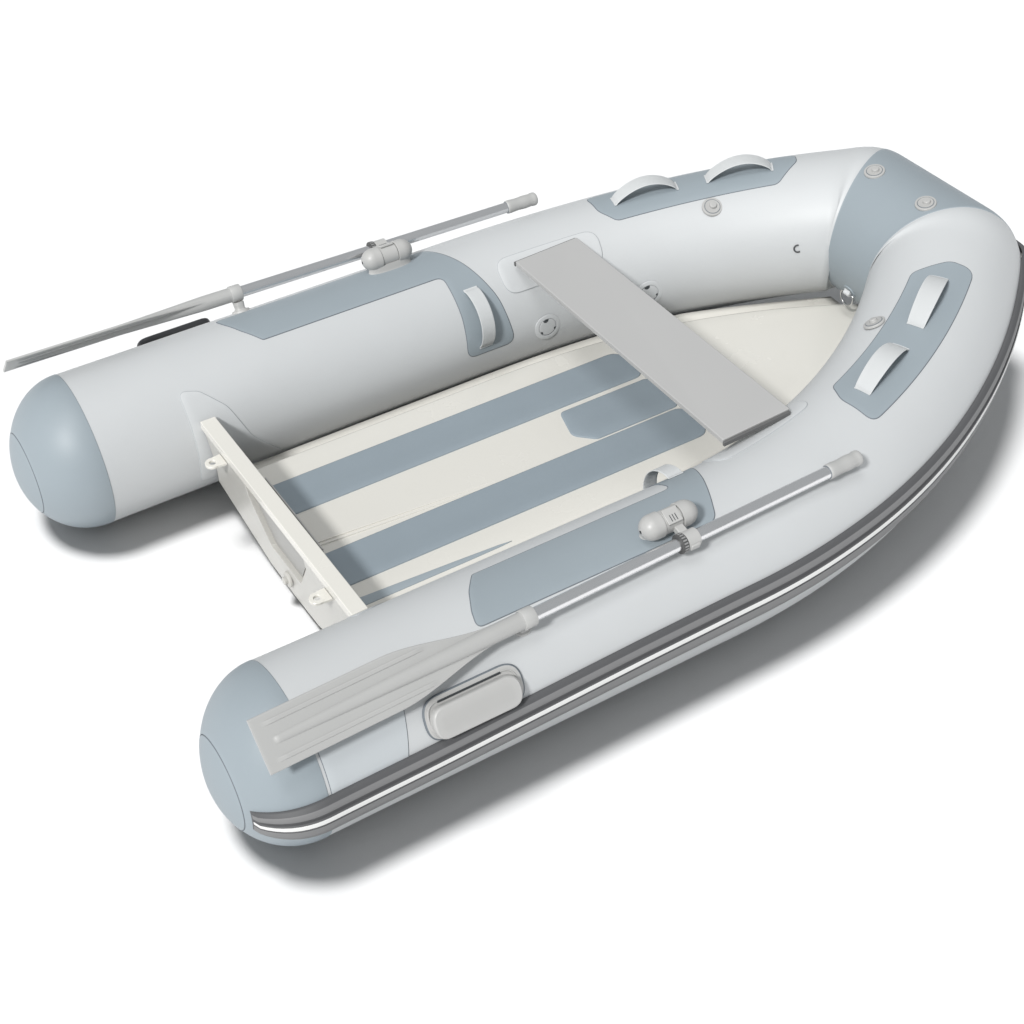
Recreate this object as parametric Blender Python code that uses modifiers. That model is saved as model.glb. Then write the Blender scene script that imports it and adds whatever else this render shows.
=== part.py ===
"""Rigid-hull inflatable tender with oars, seat and fittings.

Metres. +Y points to the bow, +X to starboard, +Z up, with the boat standing on its keel guard at z = 0.
Stations along the boat are given from the seam of the stern cones, and heights from the tube axis at the stern.
"""

import math

import bmesh
import bpy
import numpy as np
from mathutils import Matrix, Vector

# ---- driving dimensions -------------------------------------------------------------------------
STERN_Y = -1.1362  # world y of the stern cone seam
AXIS_Z = 0.2115  # height of the tube axis at the stern
TUBE_R = 0.200
TUBE_X = 0.590  # distance from the centreline to each side tube's axis
TUBE_WALL = 0.0012
TUBE_SIDES = 28
DOME_LENGTH = 0.172
BEND_START = 1.066  # station where the side tubes start to turn in
BEND_ARC = 1.260  # length of the turning part
BEND_POWER = 1.178  # how the turn gathers
BOW_HEADING = math.radians(44.14)
BOW_RISE = 0.158

KEEL_HALF = 0.130  # half width of the nearly flat keel
HULL_THICK = 0.004
HULL_START = 0.333
HULL_END = 2.100
DECK_Z = -0.017
DECK_HALF = 0.297
DECK_START = 0.328
DECK_END = 2.105
PAD_THICK = 0.004

TRANSOM_Y = 0.262  # station of the transom's outer face at its top
TRANSOM_RAKE = 0.107  # forward lean per metre down
TRANSOM_THICK = 0.036
RAIL_HALF = 0.406
RAIL_TOP = 0.100
RAIL_HEIGHT = 0.024
RAIL_DEPTH = 0.041

SEAT_Y = 1.330
SEAT_WIDTH = 0.200
SEAT_HALF = 0.459
SEAT_TOP = 0.2062
SEAT_THICK = 0.014
SEAT_TILT = math.radians(2.5)  # it follows the rise of the tubes

OAR_AXIS = (0.7055, 0.948, 0.214)  # centre of the rowlock ring: x, station, height
OAR_TOE = 0.0283  # the shaft's inward slope, per metre forward
SHAFT_R = 0.015
OAR_AFT = -1.052  # tip of the blade, from the ring, along the shaft
OAR_FORE = 0.497  # end of the grip
POD_AXIS = (0.6424, 0.9347, 0.2286)
POD_R = 0.0295
PAD_FRONT = 1.402  # station where the deck pads end

GAP = 0.0004  # clearance between touching pieces
STRAKE_GAP = 0.0030
SEAM_GAP = 0.0008  # half the clearance at the mitred bow seams
SKIN_GAP = 0.0013  # clearance of a patch from the faceted tube under it

WHITE = (0.78, 0.77, 0.73)
LIGHT_GREY = (0.68, 0.70, 0.71)
BLUE_GREY = (0.36, 0.41, 0.44)
WARM_GREY = (0.60, 0.59, 0.57)
DARK_GREY = (0.20, 0.20, 0.21)


def clear_scene():
    for item in list(bpy.data.objects):
        bpy.data.objects.remove(item, do_unlink=True)
    scene = bpy.context.scene
    boat = bpy.data.collections.new("inflatable_tender")
    cutters = bpy.data.collections.new("cutters")
    scene.collection.children.link(boat)
    scene.collection.children.link(cutters)
    return boat, cutters


BOAT, CUTTERS = clear_scene()


def material(name, colour, rough=0.5, metal=0.0):
    made = bpy.data.materials.new(name)
    made.use_nodes = True
    shader = made.node_tree.nodes["Principled BSDF"]
    shader.inputs["Base Color"].default_value = (*colour, 1)
    shader.inputs["Roughness"].default_value = rough
    shader.inputs["Metallic"].default_value = metal
    made.diffuse_color = (*colour, 1)
    return made


def world(x, station, height):
    return Vector((x, station + STERN_Y, height + AXIS_Z))


def add(name, mesh, look, smooth=False):
    """Puts a mesh in the boat as one named piece with a material of its own."""
    piece = bpy.data.objects.new(name, mesh)
    BOAT.objects.link(piece)
    mesh.materials.clear()
    mesh.materials.append(material(name + "_finish", *look))
    if smooth:
        mesh.polygons.foreach_set("use_smooth", [True] * len(mesh.polygons))
    return piece


def cutter(name, mesh):
    tool = bpy.data.objects.new(name, mesh)
    CUTTERS.objects.link(tool)
    tool.hide_render = True
    tool.display_type = "WIRE"
    return tool


def boolean(piece, tool, operation="DIFFERENCE"):
    step = piece.modifiers.new(operation.lower() + "_" + tool.name, "BOOLEAN")
    step.operation = operation
    step.solver = "EXACT"
    step.object = tool


# ---- the tube's run -----------------------------------------------------------------------------
def side_run():
    """Arc length, x, station, height and heading along the axis of the starboard tube."""
    turned = np.linspace(0, BEND_ARC, 401)
    heading = BOW_HEADING * (turned / BEND_ARC) ** BEND_POWER
    middle = (heading[1:] + heading[:-1]) / 2
    step = turned[1] - turned[0]
    x = TUBE_X - np.concatenate([[0], np.cumsum(np.sin(middle) * step)])
    y = BEND_START + np.concatenate([[0], np.cumsum(np.cos(middle) * step)])
    rise = BOW_RISE * ((y - BEND_START) / (y[-1] - BEND_START)) ** 2
    return BEND_START + turned, x, y, rise, heading


RUN = side_run()
MITRE_S = float(RUN[0][-1])
MITRE_Y = float(RUN[2][-1])
MITRE_X = float(RUN[1][-1])


def axis_at(s):
    """Centre (x, station, height) and heading of the starboard tube at arc length s, or of the bow tube past it."""
    if s <= BEND_START:
        return TUBE_X, s, 0.0, 0.0
    if s <= MITRE_S:
        x, y, z, heading = (float(np.interp(s, RUN[0], column)) for column in RUN[1:])
        return x, y, z, heading
    return MITRE_X - (s - MITRE_S), MITRE_Y, BOW_RISE, math.pi / 2


def skin(s, angle, lift, side=1):
    """A point lift above the tube's surface. angle is 0 outboard, 90 on top and 180 inboard, in degrees."""
    x, y, z, heading = axis_at(s)
    radius = TUBE_R
    if s < 0:
        radius = TUBE_R * math.sqrt(max(0.0, 1 - (s / DOME_LENGTH) ** 2))
    reach = (radius + lift) * math.cos(math.radians(angle))
    up = (radius + lift) * math.sin(math.radians(angle))
    return world(side * (x + reach * math.cos(heading)), y + reach * math.sin(heading), z + up)


def mitre_skin(angle, lift, side=1):
    """A point on the mitre plane where a side tube meets the bow tube."""
    turn = (BOW_HEADING + math.pi / 2) / 2
    stretch = 1 / math.cos((math.pi / 2 - BOW_HEADING) / 2)
    reach = (TUBE_R + lift) * math.cos(math.radians(angle)) * stretch
    up = (TUBE_R + lift) * math.sin(math.radians(angle))
    x = MITRE_X + reach * math.cos(turn)
    return world(side * x, MITRE_Y + reach * math.sin(turn), BOW_RISE + up)


# ---- mesh makers --------------------------------------------------------------------------------
def faces_out(mesh, sign=1):
    """Makes every face point away from the inside of the closed mesh."""
    body = bmesh.new()
    body.from_mesh(mesh)
    bmesh.ops.recalc_face_normals(body, faces=body.faces)
    if sign * body.calc_volume(signed=True) < 0:
        bmesh.ops.reverse_faces(body, faces=body.faces)
    body.to_mesh(mesh)
    body.free()


def loft(name, rings, wrap=True, caps=True):
    """A mesh through rings of points. With wrap, each ring is a closed loop; caps closes the two ends."""
    count = len(rings[0])
    points = [tuple(point) for ring in rings for point in ring]
    faces = []
    for row in range(len(rings) - 1):
        for column in range(count if wrap else count - 1):
            after = (column + 1) % count
            low = row * count
            high = low + count
            faces.append((low + column, low + after, high + after, high + column))
    if caps and wrap:
        faces.append(tuple(range(count)))
        faces.append(tuple(range((len(rings) - 1) * count, len(rings) * count)))
    mesh = bpy.data.meshes.new(name)
    mesh.from_pydata(points, [], faces)
    if caps and wrap:
        faces_out(mesh)
    mesh.update()
    return mesh


def sheet(name, rings, thickness, outward, look, wrap=False):
    """An open surface through rings, given its thickness by Solidify on the side that outward(point) points to."""
    return thicken(name, loft(name, rings, wrap=wrap, caps=False), thickness, outward, look)


def thicken(name, mesh, thickness, outward, look):
    middle = mesh.polygons[len(mesh.polygons) // 2]
    if middle.normal.dot(outward(middle.center)) < 0:
        mesh.flip_normals()
    piece = add(name, mesh, look, smooth=False)
    solid = piece.modifiers.new("thickness", "SOLIDIFY")
    solid.thickness = thickness
    solid.offset = 1
    solid.use_even_offset = False
    solid.use_rim = True
    return piece


def mirror_piece(piece, name, look):
    """The same piece on the other side of the centreline."""
    mesh = piece.data.copy()
    mesh.transform(Matrix.Diagonal((-1, 1, 1, 1)))
    mesh.flip_normals()
    twin = add(name, mesh, look)
    for step in piece.modifiers:
        if step.type == "SOLIDIFY":
            made = twin.modifiers.new(step.name, "SOLIDIFY")
            made.thickness = step.thickness
            made.offset = step.offset
            made.use_even_offset = step.use_even_offset
            made.use_rim = step.use_rim
    return twin


def box_mesh(name, low, high, bevel=0.0):
    """An upright box between two corners, with its edges bevelled."""
    body = bmesh.new()
    bmesh.ops.create_cube(body, size=1)
    size = [b - a for a, b in zip(low, high)]
    middle = [(a + b) / 2 for a, b in zip(low, high)]
    bmesh.ops.scale(body, vec=size, verts=body.verts)
    bmesh.ops.translate(body, vec=middle, verts=body.verts)
    if bevel:
        bmesh.ops.bevel(body, geom=body.edges, offset=bevel, segments=1, affect="EDGES", clamp_overlap=True)
    mesh = bpy.data.meshes.new(name)
    body.to_mesh(mesh)
    body.free()
    return mesh


def cylinder_mesh(name, radius, depth, sides=24, top=None):
    body = bmesh.new()
    bmesh.ops.create_cone(
        body, cap_ends=True, segments=sides, radius1=radius, radius2=radius if top is None else top, depth=depth
    )
    mesh = bpy.data.meshes.new(name)
    body.to_mesh(mesh)
    body.free()
    return mesh


def turned(name, profile, look, sides=24):
    """A body of revolution about local Z from a profile of (radius, height) points, by the Screw modifier."""
    mesh = bpy.data.meshes.new(name)
    area = sum(a[0] * b[1] - b[0] * a[1] for a, b in zip(profile, profile[1:] + profile[:1]))
    if area > 0:
        profile = profile[::-1]
    closed = profile[0][0] > 1e-6
    links = [(i, i + 1) for i in range(len(profile) - 1)]
    if closed:
        links.append((len(profile) - 1, 0))
    mesh.from_pydata([(r, 0, z) for r, z in profile], links, [])
    piece = add(name, mesh, look)
    spin = piece.modifiers.new("spin", "SCREW")
    spin.steps = sides
    spin.render_steps = sides
    spin.use_merge_vertices = True
    spin.merge_threshold = 0.00001
    spin.use_smooth_shade = True
    spin.use_normal_calculate = False
    return piece


def stand_on(piece, point, normal, forward):
    """Places a piece at a point with local Z along the normal and local Y close to forward."""
    up = normal.normalized()
    side = forward.cross(up).normalized()
    front = up.cross(side).normalized()
    turn = Matrix((side, front, up)).transposed().to_4x4()
    piece.matrix_world = Matrix.Translation(point) @ turn


# ---- tubes --------------------------------------------------------------------------------------
def tube_rings(stations, lift):
    angles = [360 * i / TUBE_SIDES for i in range(TUBE_SIDES)]
    return [[skin(s, a, lift) for a in angles] for s in stations]


def build_tubes():
    """Side tubes and bow tube: thin skins on the same run, parted by a small gap at each seam."""
    angles = [360 * i / TUBE_SIDES for i in range(TUBE_SIDES)]
    stations = [GAP, BEND_START] + [BEND_START + BEND_ARC * i / 12 for i in range(1, 12)]
    rings = tube_rings(stations, 0)
    end = [mitre_skin(a, 0) for a in angles]
    back = Vector((math.sin((BOW_HEADING + math.pi / 2) / 2), -math.cos((BOW_HEADING + math.pi / 2) / 2), 0))
    rings.append([point + back * SEAM_GAP for point in end])
    starboard = sheet("tube_starboard", rings, TUBE_WALL, lambda c: axis_side(c, 1), (LIGHT_GREY, 0.45), wrap=True)
    port = mirror_piece(starboard, "tube_port", (LIGHT_GREY, 0.45))
    bow_rings = [[point - back * SEAM_GAP for point in end]]
    bow_rings.append([Vector((0.06, p.y, p.z)) for p in [world(0, MITRE_Y, BOW_RISE) + bow_offset(a) for a in angles]])
    bow_rings += [[Vector((-p.x, p.y, p.z)) for p in ring] for ring in reversed(bow_rings)]
    centre = world(0, MITRE_Y, BOW_RISE)
    sheet("tube_bow", bow_rings, TUBE_WALL, lambda c: centre - c, (BLUE_GREY, 0.5), wrap=True)
    return starboard, port


def axis_side(point, side):
    """The direction from a point on a side tube's skin towards the tube's axis, near enough to pick a side."""
    best = min((Vector(world(side * axis_at(s)[0], axis_at(s)[1], axis_at(s)[2])) for s in np.linspace(0, MITRE_S, 60)),
               key=lambda centre: (centre - point).length)
    return best - point


def bow_offset(angle):
    return Vector((0, TUBE_R * math.cos(math.radians(angle)), TUBE_R * math.sin(math.radians(angle))))


def build_cones():
    """Rounded stern cones: skins of revolution about the tube axis, open to the tube."""
    outer = []
    for step in range(8):
        turn = math.radians(90 * step / 7)
        outer.append((TUBE_R * math.cos(turn), -DOME_LENGTH * math.sin(turn)))
    inner = [(r * (1 - TUBE_WALL / TUBE_R), z * (1 - TUBE_WALL / DOME_LENGTH)) for r, z in outer]
    outer[-1] = (0.0, outer[-1][1])
    inner[-1] = (0.0, inner[-1][1])
    profile = list(reversed(inner)) + outer
    for name, side in (("stern_cone_starboard", 1), ("stern_cone_port", -1)):
        cone = turned(name, [(r, z) for r, z in profile], (BLUE_GREY, 0.5), TUBE_SIDES)
        cone.rotation_euler = (-math.pi / 2, 0, 0)
        cone.location = world(side * TUBE_X, 0, 0)


# ---- pieces bonded to the tubes -----------------------------------------------------------------
def patch(name, stations, edges, thickness, look, columns=8, lift=SKIN_GAP):
    """A fabric piece on the starboard tube. edges(s) gives its lower and upper angle at each station."""
    rings = []
    for s in stations:
        low, high = edges(s)
        rings.append([skin(s, low + (high - low) * i / columns, lift) for i in range(columns + 1)])
    return sheet(name, rings, thickness, lambda c: -axis_side(c, 1), look)


def cell_patch(name, stations, angles, inside, moved, look):
    """A patch made of the cells of a grid for which inside(row, column) is true, with some corners moved in."""
    numbers, points, faces = {}, [], []
    for row in range(len(stations) - 1):
        for column in range(len(angles) - 1):
            if not inside(row, column):
                continue
            face = []
            for corner in ((row, column), (row, column + 1), (row + 1, column + 1), (row + 1, column)):
                if corner not in numbers:
                    shift, turn = moved.get(corner, (0, 0))
                    numbers[corner] = len(points)
                    points.append(tuple(skin(stations[corner[0]] + shift, angles[corner[1]] + turn, SKIN_GAP)))
                face.append(numbers[corner])
            faces.append(face)
    mesh = bpy.data.meshes.new(name)
    mesh.from_pydata(points, [], faces)
    mesh.update()
    return thicken(name, mesh, 0.0015, lambda c: -axis_side(c, 1), look)


def rounded(s, start, end, low, high, corner, corner_angle):
    """Angles of a rounded oblong at station s: corner is its radius along the tube, corner_angle around it."""
    inset = 0.0
    for distance in (s - start, end - s):
        if distance < corner:
            part = 1 - max(distance, 0) / corner
            inset = max(inset, corner_angle * (1 - math.sqrt(max(0.0, 1 - part * part))))
    return low + inset, high - inset


def oblong_stations(start, end, corner, middle=3):
    ends = [0.0, 0.15 * corner, 0.5 * corner, corner]
    inner = [start + corner + (end - start - 2 * corner) * i / (middle + 1) for i in range(1, middle + 1)]
    return [start + e for e in ends] + inner + [end - e for e in reversed(ends)]


def build_patches():
    look = (BLUE_GREY, 0.6)

    stations = [0.440, 0.458, 0.490, 0.76, 1.022, 1.038, 1.066, 1.10, 1.135, 1.160, 1.182]
    angles = [69, 76, 83, 90, 97, 104, 110, 118, 126, 134, 142, 150, 158, 166, 174, 180]
    moved = {(0, 0): (0.014, 5), (0, 6): (0.014, -5), (10, 0): (-0.014, 5), (10, 15): (-0.014, -5), (5, 15): (0.010, -3)}
    wear = cell_patch("wear_patch_starboard", stations, angles, lambda row, column: column < 6 or row >= 5, moved, look)
    mirror_piece(wear, "wear_patch_port", look)

    oblong = lambda s: rounded(s, 1.552, 2.118, 68, 110.5, 0.045, 14)
    bow = patch("bow_patch_starboard", oblong_stations(1.552, 2.118, 0.045, 6), oblong, 0.0015, look)
    mirror_piece(bow, "bow_patch_port", look)

    panel = lambda s: rounded(s, 0.014, 0.192, 17.5, 46, 0.008, 2)
    blank = patch("blank_panel_starboard", [0.014, 0.022, 0.10, 0.184, 0.192], panel, 0.001, (WHITE, 0.5), columns=5)
    mirror_piece(blank, "blank_panel_port", (WHITE, 0.5))

    rest = lambda s: rounded(s, 1.200, 1.510, 112, 142, 0.040, 10)
    pad = patch("seat_pad_starboard", oblong_stations(1.200, 1.510, 0.040, 2), rest, 0.003, (LIGHT_GREY, 0.5), columns=5)
    mirror_piece(pad, "seat_pad_port", (LIGHT_GREY, 0.5))

    def flap_edges(s):
        return 132 + 60 * (s - 0.306) / 0.170, 206
    stations = [0.306 + 0.017 * i for i in range(11)]
    flap = patch("transom_flap_starboard", stations, flap_edges, 0.003, (WHITE, 0.4), columns=10)
    mirror_piece(flap, "transom_flap_port", (WHITE, 0.4))


def strap_outline(length, height, thickness, foot):
    """Side view of a webbing handle, an arch with flat feet: points (along, up)."""
    steps = 10
    outer, inner = [], []
    for i in range(steps + 1):
        part = i / steps
        bow = height * math.sin(math.pi * part) ** 0.7
        outer.append((-length / 2 + foot + (length - 2 * foot) * part, bow + thickness))
        inset = foot + 0.8 * thickness
        inner.append((-length / 2 + inset + (length - 2 * inset) * part, bow))
    inner[0] = (inner[0][0], 0.0)
    inner[-1] = (inner[-1][0], 0.0)
    outline = [(-length / 2, 0), (-length / 2, thickness)] + outer + [(length / 2, thickness), (length / 2, 0)]
    return outline + inner[::-1]


def strap(name, outline, width, place):
    """A webbing handle lofted across its width; place(along, across, up) gives a point in the world."""
    rings = [[place(y, width * part, z) for y, z in outline] for part in (-0.5, 0.0, 0.5)]
    add(name, loft(name, rings), (WHITE, 0.7))


def surface_frame(s, angle, side):
    """Point on the tube, outward normal and direction along it, on the given side."""
    point = skin(s, angle, 0, side)
    along = (skin(s + 0.001, angle, 0, side) - point).normalized()
    around = (skin(s, angle + 0.5, 0, side) - point).normalized()
    normal = along.cross(around)
    if normal.dot(point - world(side * axis_at(s)[0], axis_at(s)[1], axis_at(s)[2])) < 0:
        normal = -normal
    return point, normal.normalized(), along


def build_handles():
    """Two webbing handles on each bow patch, and one round the inboard side of each tube on the wear patch."""
    base = SKIN_GAP + 0.0015 + 2 * GAP
    turn = math.degrees(1 / TUBE_R)
    long_strap = strap_outline(0.188, 0.040, 0.003, 0.014)
    short_strap = strap_outline(0.150, 0.034, 0.003, 0.012)
    for side, tag in ((1, "starboard"), (-1, "port")):
        for where, s in (("aft", 1.694), ("fore", 1.962)):
            def along_tube(y, x, z, s=s, side=side):
                return skin(s + y, 90 + turn * x, base + z, side)
            strap("bow_handle_%s_%s" % (tag, where), long_strap, 0.044, along_tube)

        def round_tube(y, x, z, side=side):
            return skin(1.103 + x, 146 + turn * y, base + 0.0006 + z, side)
        strap("side_handle_" + tag, short_strap, 0.044, round_tube)


def build_strakes():
    """One rub strake right round the boat, from cone to cone by way of the bow."""
    profile = [(-11.0, 0.0), (-10.2, 0.009), (-7.5, 0.014), (-3.0, 0.017), (3.0, 0.019), (9.0, 0.016), (13.2, 0.009), (14.5, 0.0)]
    hollow = [(12.0, 0.0), (11.2, 0.006), (8.0, 0.011), (3.0, 0.014), (-3.0, 0.012), (-6.6, 0.009), (-8.4, 0.005), (-8.8, 0.0)]

    def ring(place):
        return [place(a, h + STRAKE_GAP) for a, h in profile + hollow]

    def bent(t):
        """The corner at the mitre, rounded from the side tube's heading to the bow tube's."""
        turn = BOW_HEADING + (math.pi / 2 - BOW_HEADING) * t
        stretch = 1 / math.cos((math.pi / 2 - BOW_HEADING) / 2)
        grow = 1 + (stretch - 1) * (1 - abs(2 * t - 1))

        def place(a, h):
            reach = (TUBE_R + h) * math.cos(math.radians(a)) * grow
            up = (TUBE_R + h) * math.sin(math.radians(a))
            return world(MITRE_X + reach * math.cos(turn), MITRE_Y + reach * math.sin(turn), BOW_RISE + up)
        return place

    stations = [-0.135, -0.120, -0.100, -0.075, -0.045, -0.015, 0.02, 0.55, BEND_START]
    stations += [BEND_START + BEND_ARC * t for t in (0.14, 0.26, 0.37, 0.47, 0.56, 0.65, 0.73, 0.81, 0.88, 0.94)]
    half = [ring(lambda a, h, s=s: skin(s, a, h)) for s in stations]
    half += [ring(bent(t)) for t in (0.02, 0.25, 0.5, 0.75, 0.98)]
    half.append(ring(lambda a, h: skin(MITRE_S + MITRE_X - 0.02, a, h)))
    other = [[Vector((-p.x, p.y, p.z)) for p in loop] for loop in reversed(half)]
    add("rub_strake", loft("rub_strake", half + other), (DARK_GREY, 0.55))


def build_buttons():
    """Moulded line guides: a low disc with a hooded slot."""
    places = [("line_guide_starboard", 1, 1.869, 120), ("line_guide_port", -1, 1.869, 120)]
    for name, side, s, angle in places:
        point, normal, along = surface_frame(s, angle, side)
        guide(name, point, normal, along)
    for name, side in (("line_guide_bow_starboard", 1), ("line_guide_bow_port", -1)):
        turn = math.radians(104)
        normal = Vector((0, math.cos(turn), math.sin(turn)))
        point = world(side * 0.101, MITRE_Y, BOW_RISE) + normal * TUBE_R
        guide(name, point, normal, Vector((1, 0, 0)))


def guide(name, point, normal, along):
    profile = [(0.0, 0.013), (0.008, 0.013), (0.013, 0.010), (0.016, 0.006), (0.026, 0.004), (0.028, 0.0), (0.0, 0.0)]
    disc = turned(name, profile, (LIGHT_GREY, 0.4), 20)
    stand_on(disc, point + normal * 0.0008, normal, along)


def build_grab_handles():
    """Moulded grab handles: an oblong base that follows the tube, with a grip standing off it."""
    look = (WARM_GREY, 0.45)
    start, end = 0.240, 0.472
    rows = [15.5, 17.0, 20.0, 24.0, 28.5, 33.0, 37.0, 40.0, 41.5]
    spans = [0.55, 0.78, 0.93, 1.0, 1.0, 1.0, 0.93, 0.78, 0.55]
    centre, half = (start + end) / 2, (end - start) / 2
    rings = []
    for angle, span in zip(rows, spans):
        low, high = centre - half * span, centre + half * span
        steps = 6
        bottom = [skin(low + (high - low) * i / steps, angle, SKIN_GAP) for i in range(steps + 1)]
        upper = [skin(low + (high - low) * i / steps, angle, 0.007) for i in range(steps, -1, -1)]
        rings.append(bottom + upper)
    base = add("grab_handle_starboard", loft("grab_base", rings), look)
    base.data.name = "grab_handle_starboard"
    bar = []
    for angle, drop in ((19.0, 0.004), (22.0, 0.0), (30.0, 0.0), (33.0, 0.004)):
        outline = [(0.268, 0.005), (0.268, 0.014), (0.282, 0.030 - drop), (0.430, 0.030 - drop), (0.444, 0.014), (0.444, 0.005)]
        outline += [(0.418, 0.005), (0.412, 0.021), (0.300, 0.021), (0.294, 0.005)]
        bar.append([skin(s, angle, h) for s, h in outline])
    grip = cutter("grab_grip_form", loft("grab_grip_form", bar))
    boolean(base, grip, "UNION")
    twin = mirror_piece(base, "grab_handle_port", look)
    other = grip.data.copy()
    other.transform(Matrix.Diagonal((-1, 1, 1, 1)))
    other.flip_normals()
    boolean(twin, cutter("grab_grip_form_port", other), "UNION")


# ---- hull, deck and transom ---------------------------------------------------------------------
def tube_inboard(station):
    """Arc length where the tube's axis is at this station."""
    if station <= BEND_START:
        return station
    return float(np.interp(station, RUN[2], RUN[0]))


def hull_section(station):
    """Outer points of the starboard half of the hull, from the tube down to the centreline."""
    x, _, z, heading = axis_at(tube_inboard(station))
    reach = TUBE_R + 0.009
    edge_z = min(z - reach * math.sin(math.radians(27)), DECK_Z - 0.032)
    edge_x = x - math.sqrt(reach ** 2 - (edge_z - z) ** 2) / math.cos(heading)
    late = max(0.0, (station - 1.20) / (HULL_END - 1.20))
    keel = -0.1975 + 0.125 * late ** 2.0
    flat = KEEL_HALF * max(0.0, 1 - late) ** 0.8 + 0.010
    edge_x = max(edge_x, 0.030)
    chine_z = min(keel + 0.0075 + 0.03 * late, edge_z - 0.002)
    low_x = min(flat, edge_x * 0.7)
    mid = (0.45 * low_x + 0.55 * edge_x, 0.5 * (chine_z + edge_z) - 0.008 * (1 - late))
    return [(edge_x, edge_z), mid, (low_x, chine_z), (0.0, keel)]


def build_hull():
    rings = []
    for station in (HULL_START, 0.60, 0.90, 1.066, 1.20, 1.35, 1.50, 1.65, 1.78, 1.90, 2.00, HULL_END):
        half = hull_section(station)
        loop = [world(x, station, z) for x, z in half]
        loop += [world(-x, station, z) for x, z in reversed(half[:-1])]
        rings.append(loop)
    hull = sheet("hull_shell", rings, HULL_THICK, lambda c: Vector((0, 0, 1)), (WHITE, 0.3))
    hull.data.name = "hull_shell"
    guard = box_mesh("keel_guard", world(-0.06, 0.36, -0.2115), world(0.06, 1.18, -0.1980), 0.003)
    add("keel_guard", guard, (DARK_GREY, 0.6))


def deck_half(station):
    stations = [0.0, 1.05, 1.402, 1.627, 1.768, 1.940, 2.000, 2.060, 2.105]
    halves = [DECK_HALF, DECK_HALF, 0.293, 0.264, 0.226, 0.166, 0.132, 0.092, 0.060]
    return float(np.interp(station, stations, halves))


def deck_foot(station, x):
    """Height of the hull's inner face under a point, for the deck's skirt."""
    half = hull_section(station)
    xs = [p[0] for p in reversed(half)]
    zs = [p[1] for p in reversed(half)]
    return float(np.interp(x, xs, zs)) + HULL_THICK


def plate_mesh(name, outline, bottom, thick):
    """An upright prism over an outline of x and station."""
    return loft(name, [[world(x, station, z) for x, station in outline] for z in (bottom, bottom + thick)])


def build_deck():
    rings = []
    for station in (DECK_START, 0.60, 0.90, 1.066, 1.20, 1.402, 1.52, 1.627, 1.70, 1.768, 1.86, 1.940, 2.000, 2.060, DECK_END):
        w = deck_half(station)
        foot = deck_foot(station, w) + 0.004
        foot = min(foot, DECK_Z - 0.014)
        half = [(w, foot), (w - 0.002, DECK_Z - 0.008), (w - 0.010, DECK_Z), (w * 0.5, DECK_Z)]
        loop = [world(x, station, z) for x, z in half] + [world(0, station, DECK_Z)]
        loop += [world(-x, station, z) for x, z in reversed(half)]
        rings.append(loop)
    sheet("deck", rings, HULL_THICK, lambda c: Vector((0, 0, -1)), (WHITE, 0.35))
    top = DECK_Z + GAP
    look = (BLUE_GREY, 0.8)
    outline = [(0.086, 0.330), (0.211, 0.330), (0.211, PAD_FRONT - 0.030), (0.202, PAD_FRONT - 0.009),
               (0.181, PAD_FRONT), (0.104, PAD_FRONT), (0.091, PAD_FRONT - 0.006), (0.086, PAD_FRONT - 0.020)]
    add("deck_pad_starboard", plate_mesh("deck_pad_starboard", outline, top, PAD_THICK), look)
    mirror_piece(bpy.data.objects["deck_pad_starboard"], "deck_pad_port", look)
    middle = [(-0.056, 1.113), (0.018, 1.094), (0.036, 1.094), (0.071, 1.131), (0.079, 1.150), (0.079, PAD_FRONT - 0.010),
              (0.069, PAD_FRONT), (-0.057, PAD_FRONT), (-0.067, PAD_FRONT - 0.010), (-0.067, 1.126)]
    add("deck_pad_centre", plate_mesh("deck_pad_centre", middle, top, PAD_THICK), look)


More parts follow.
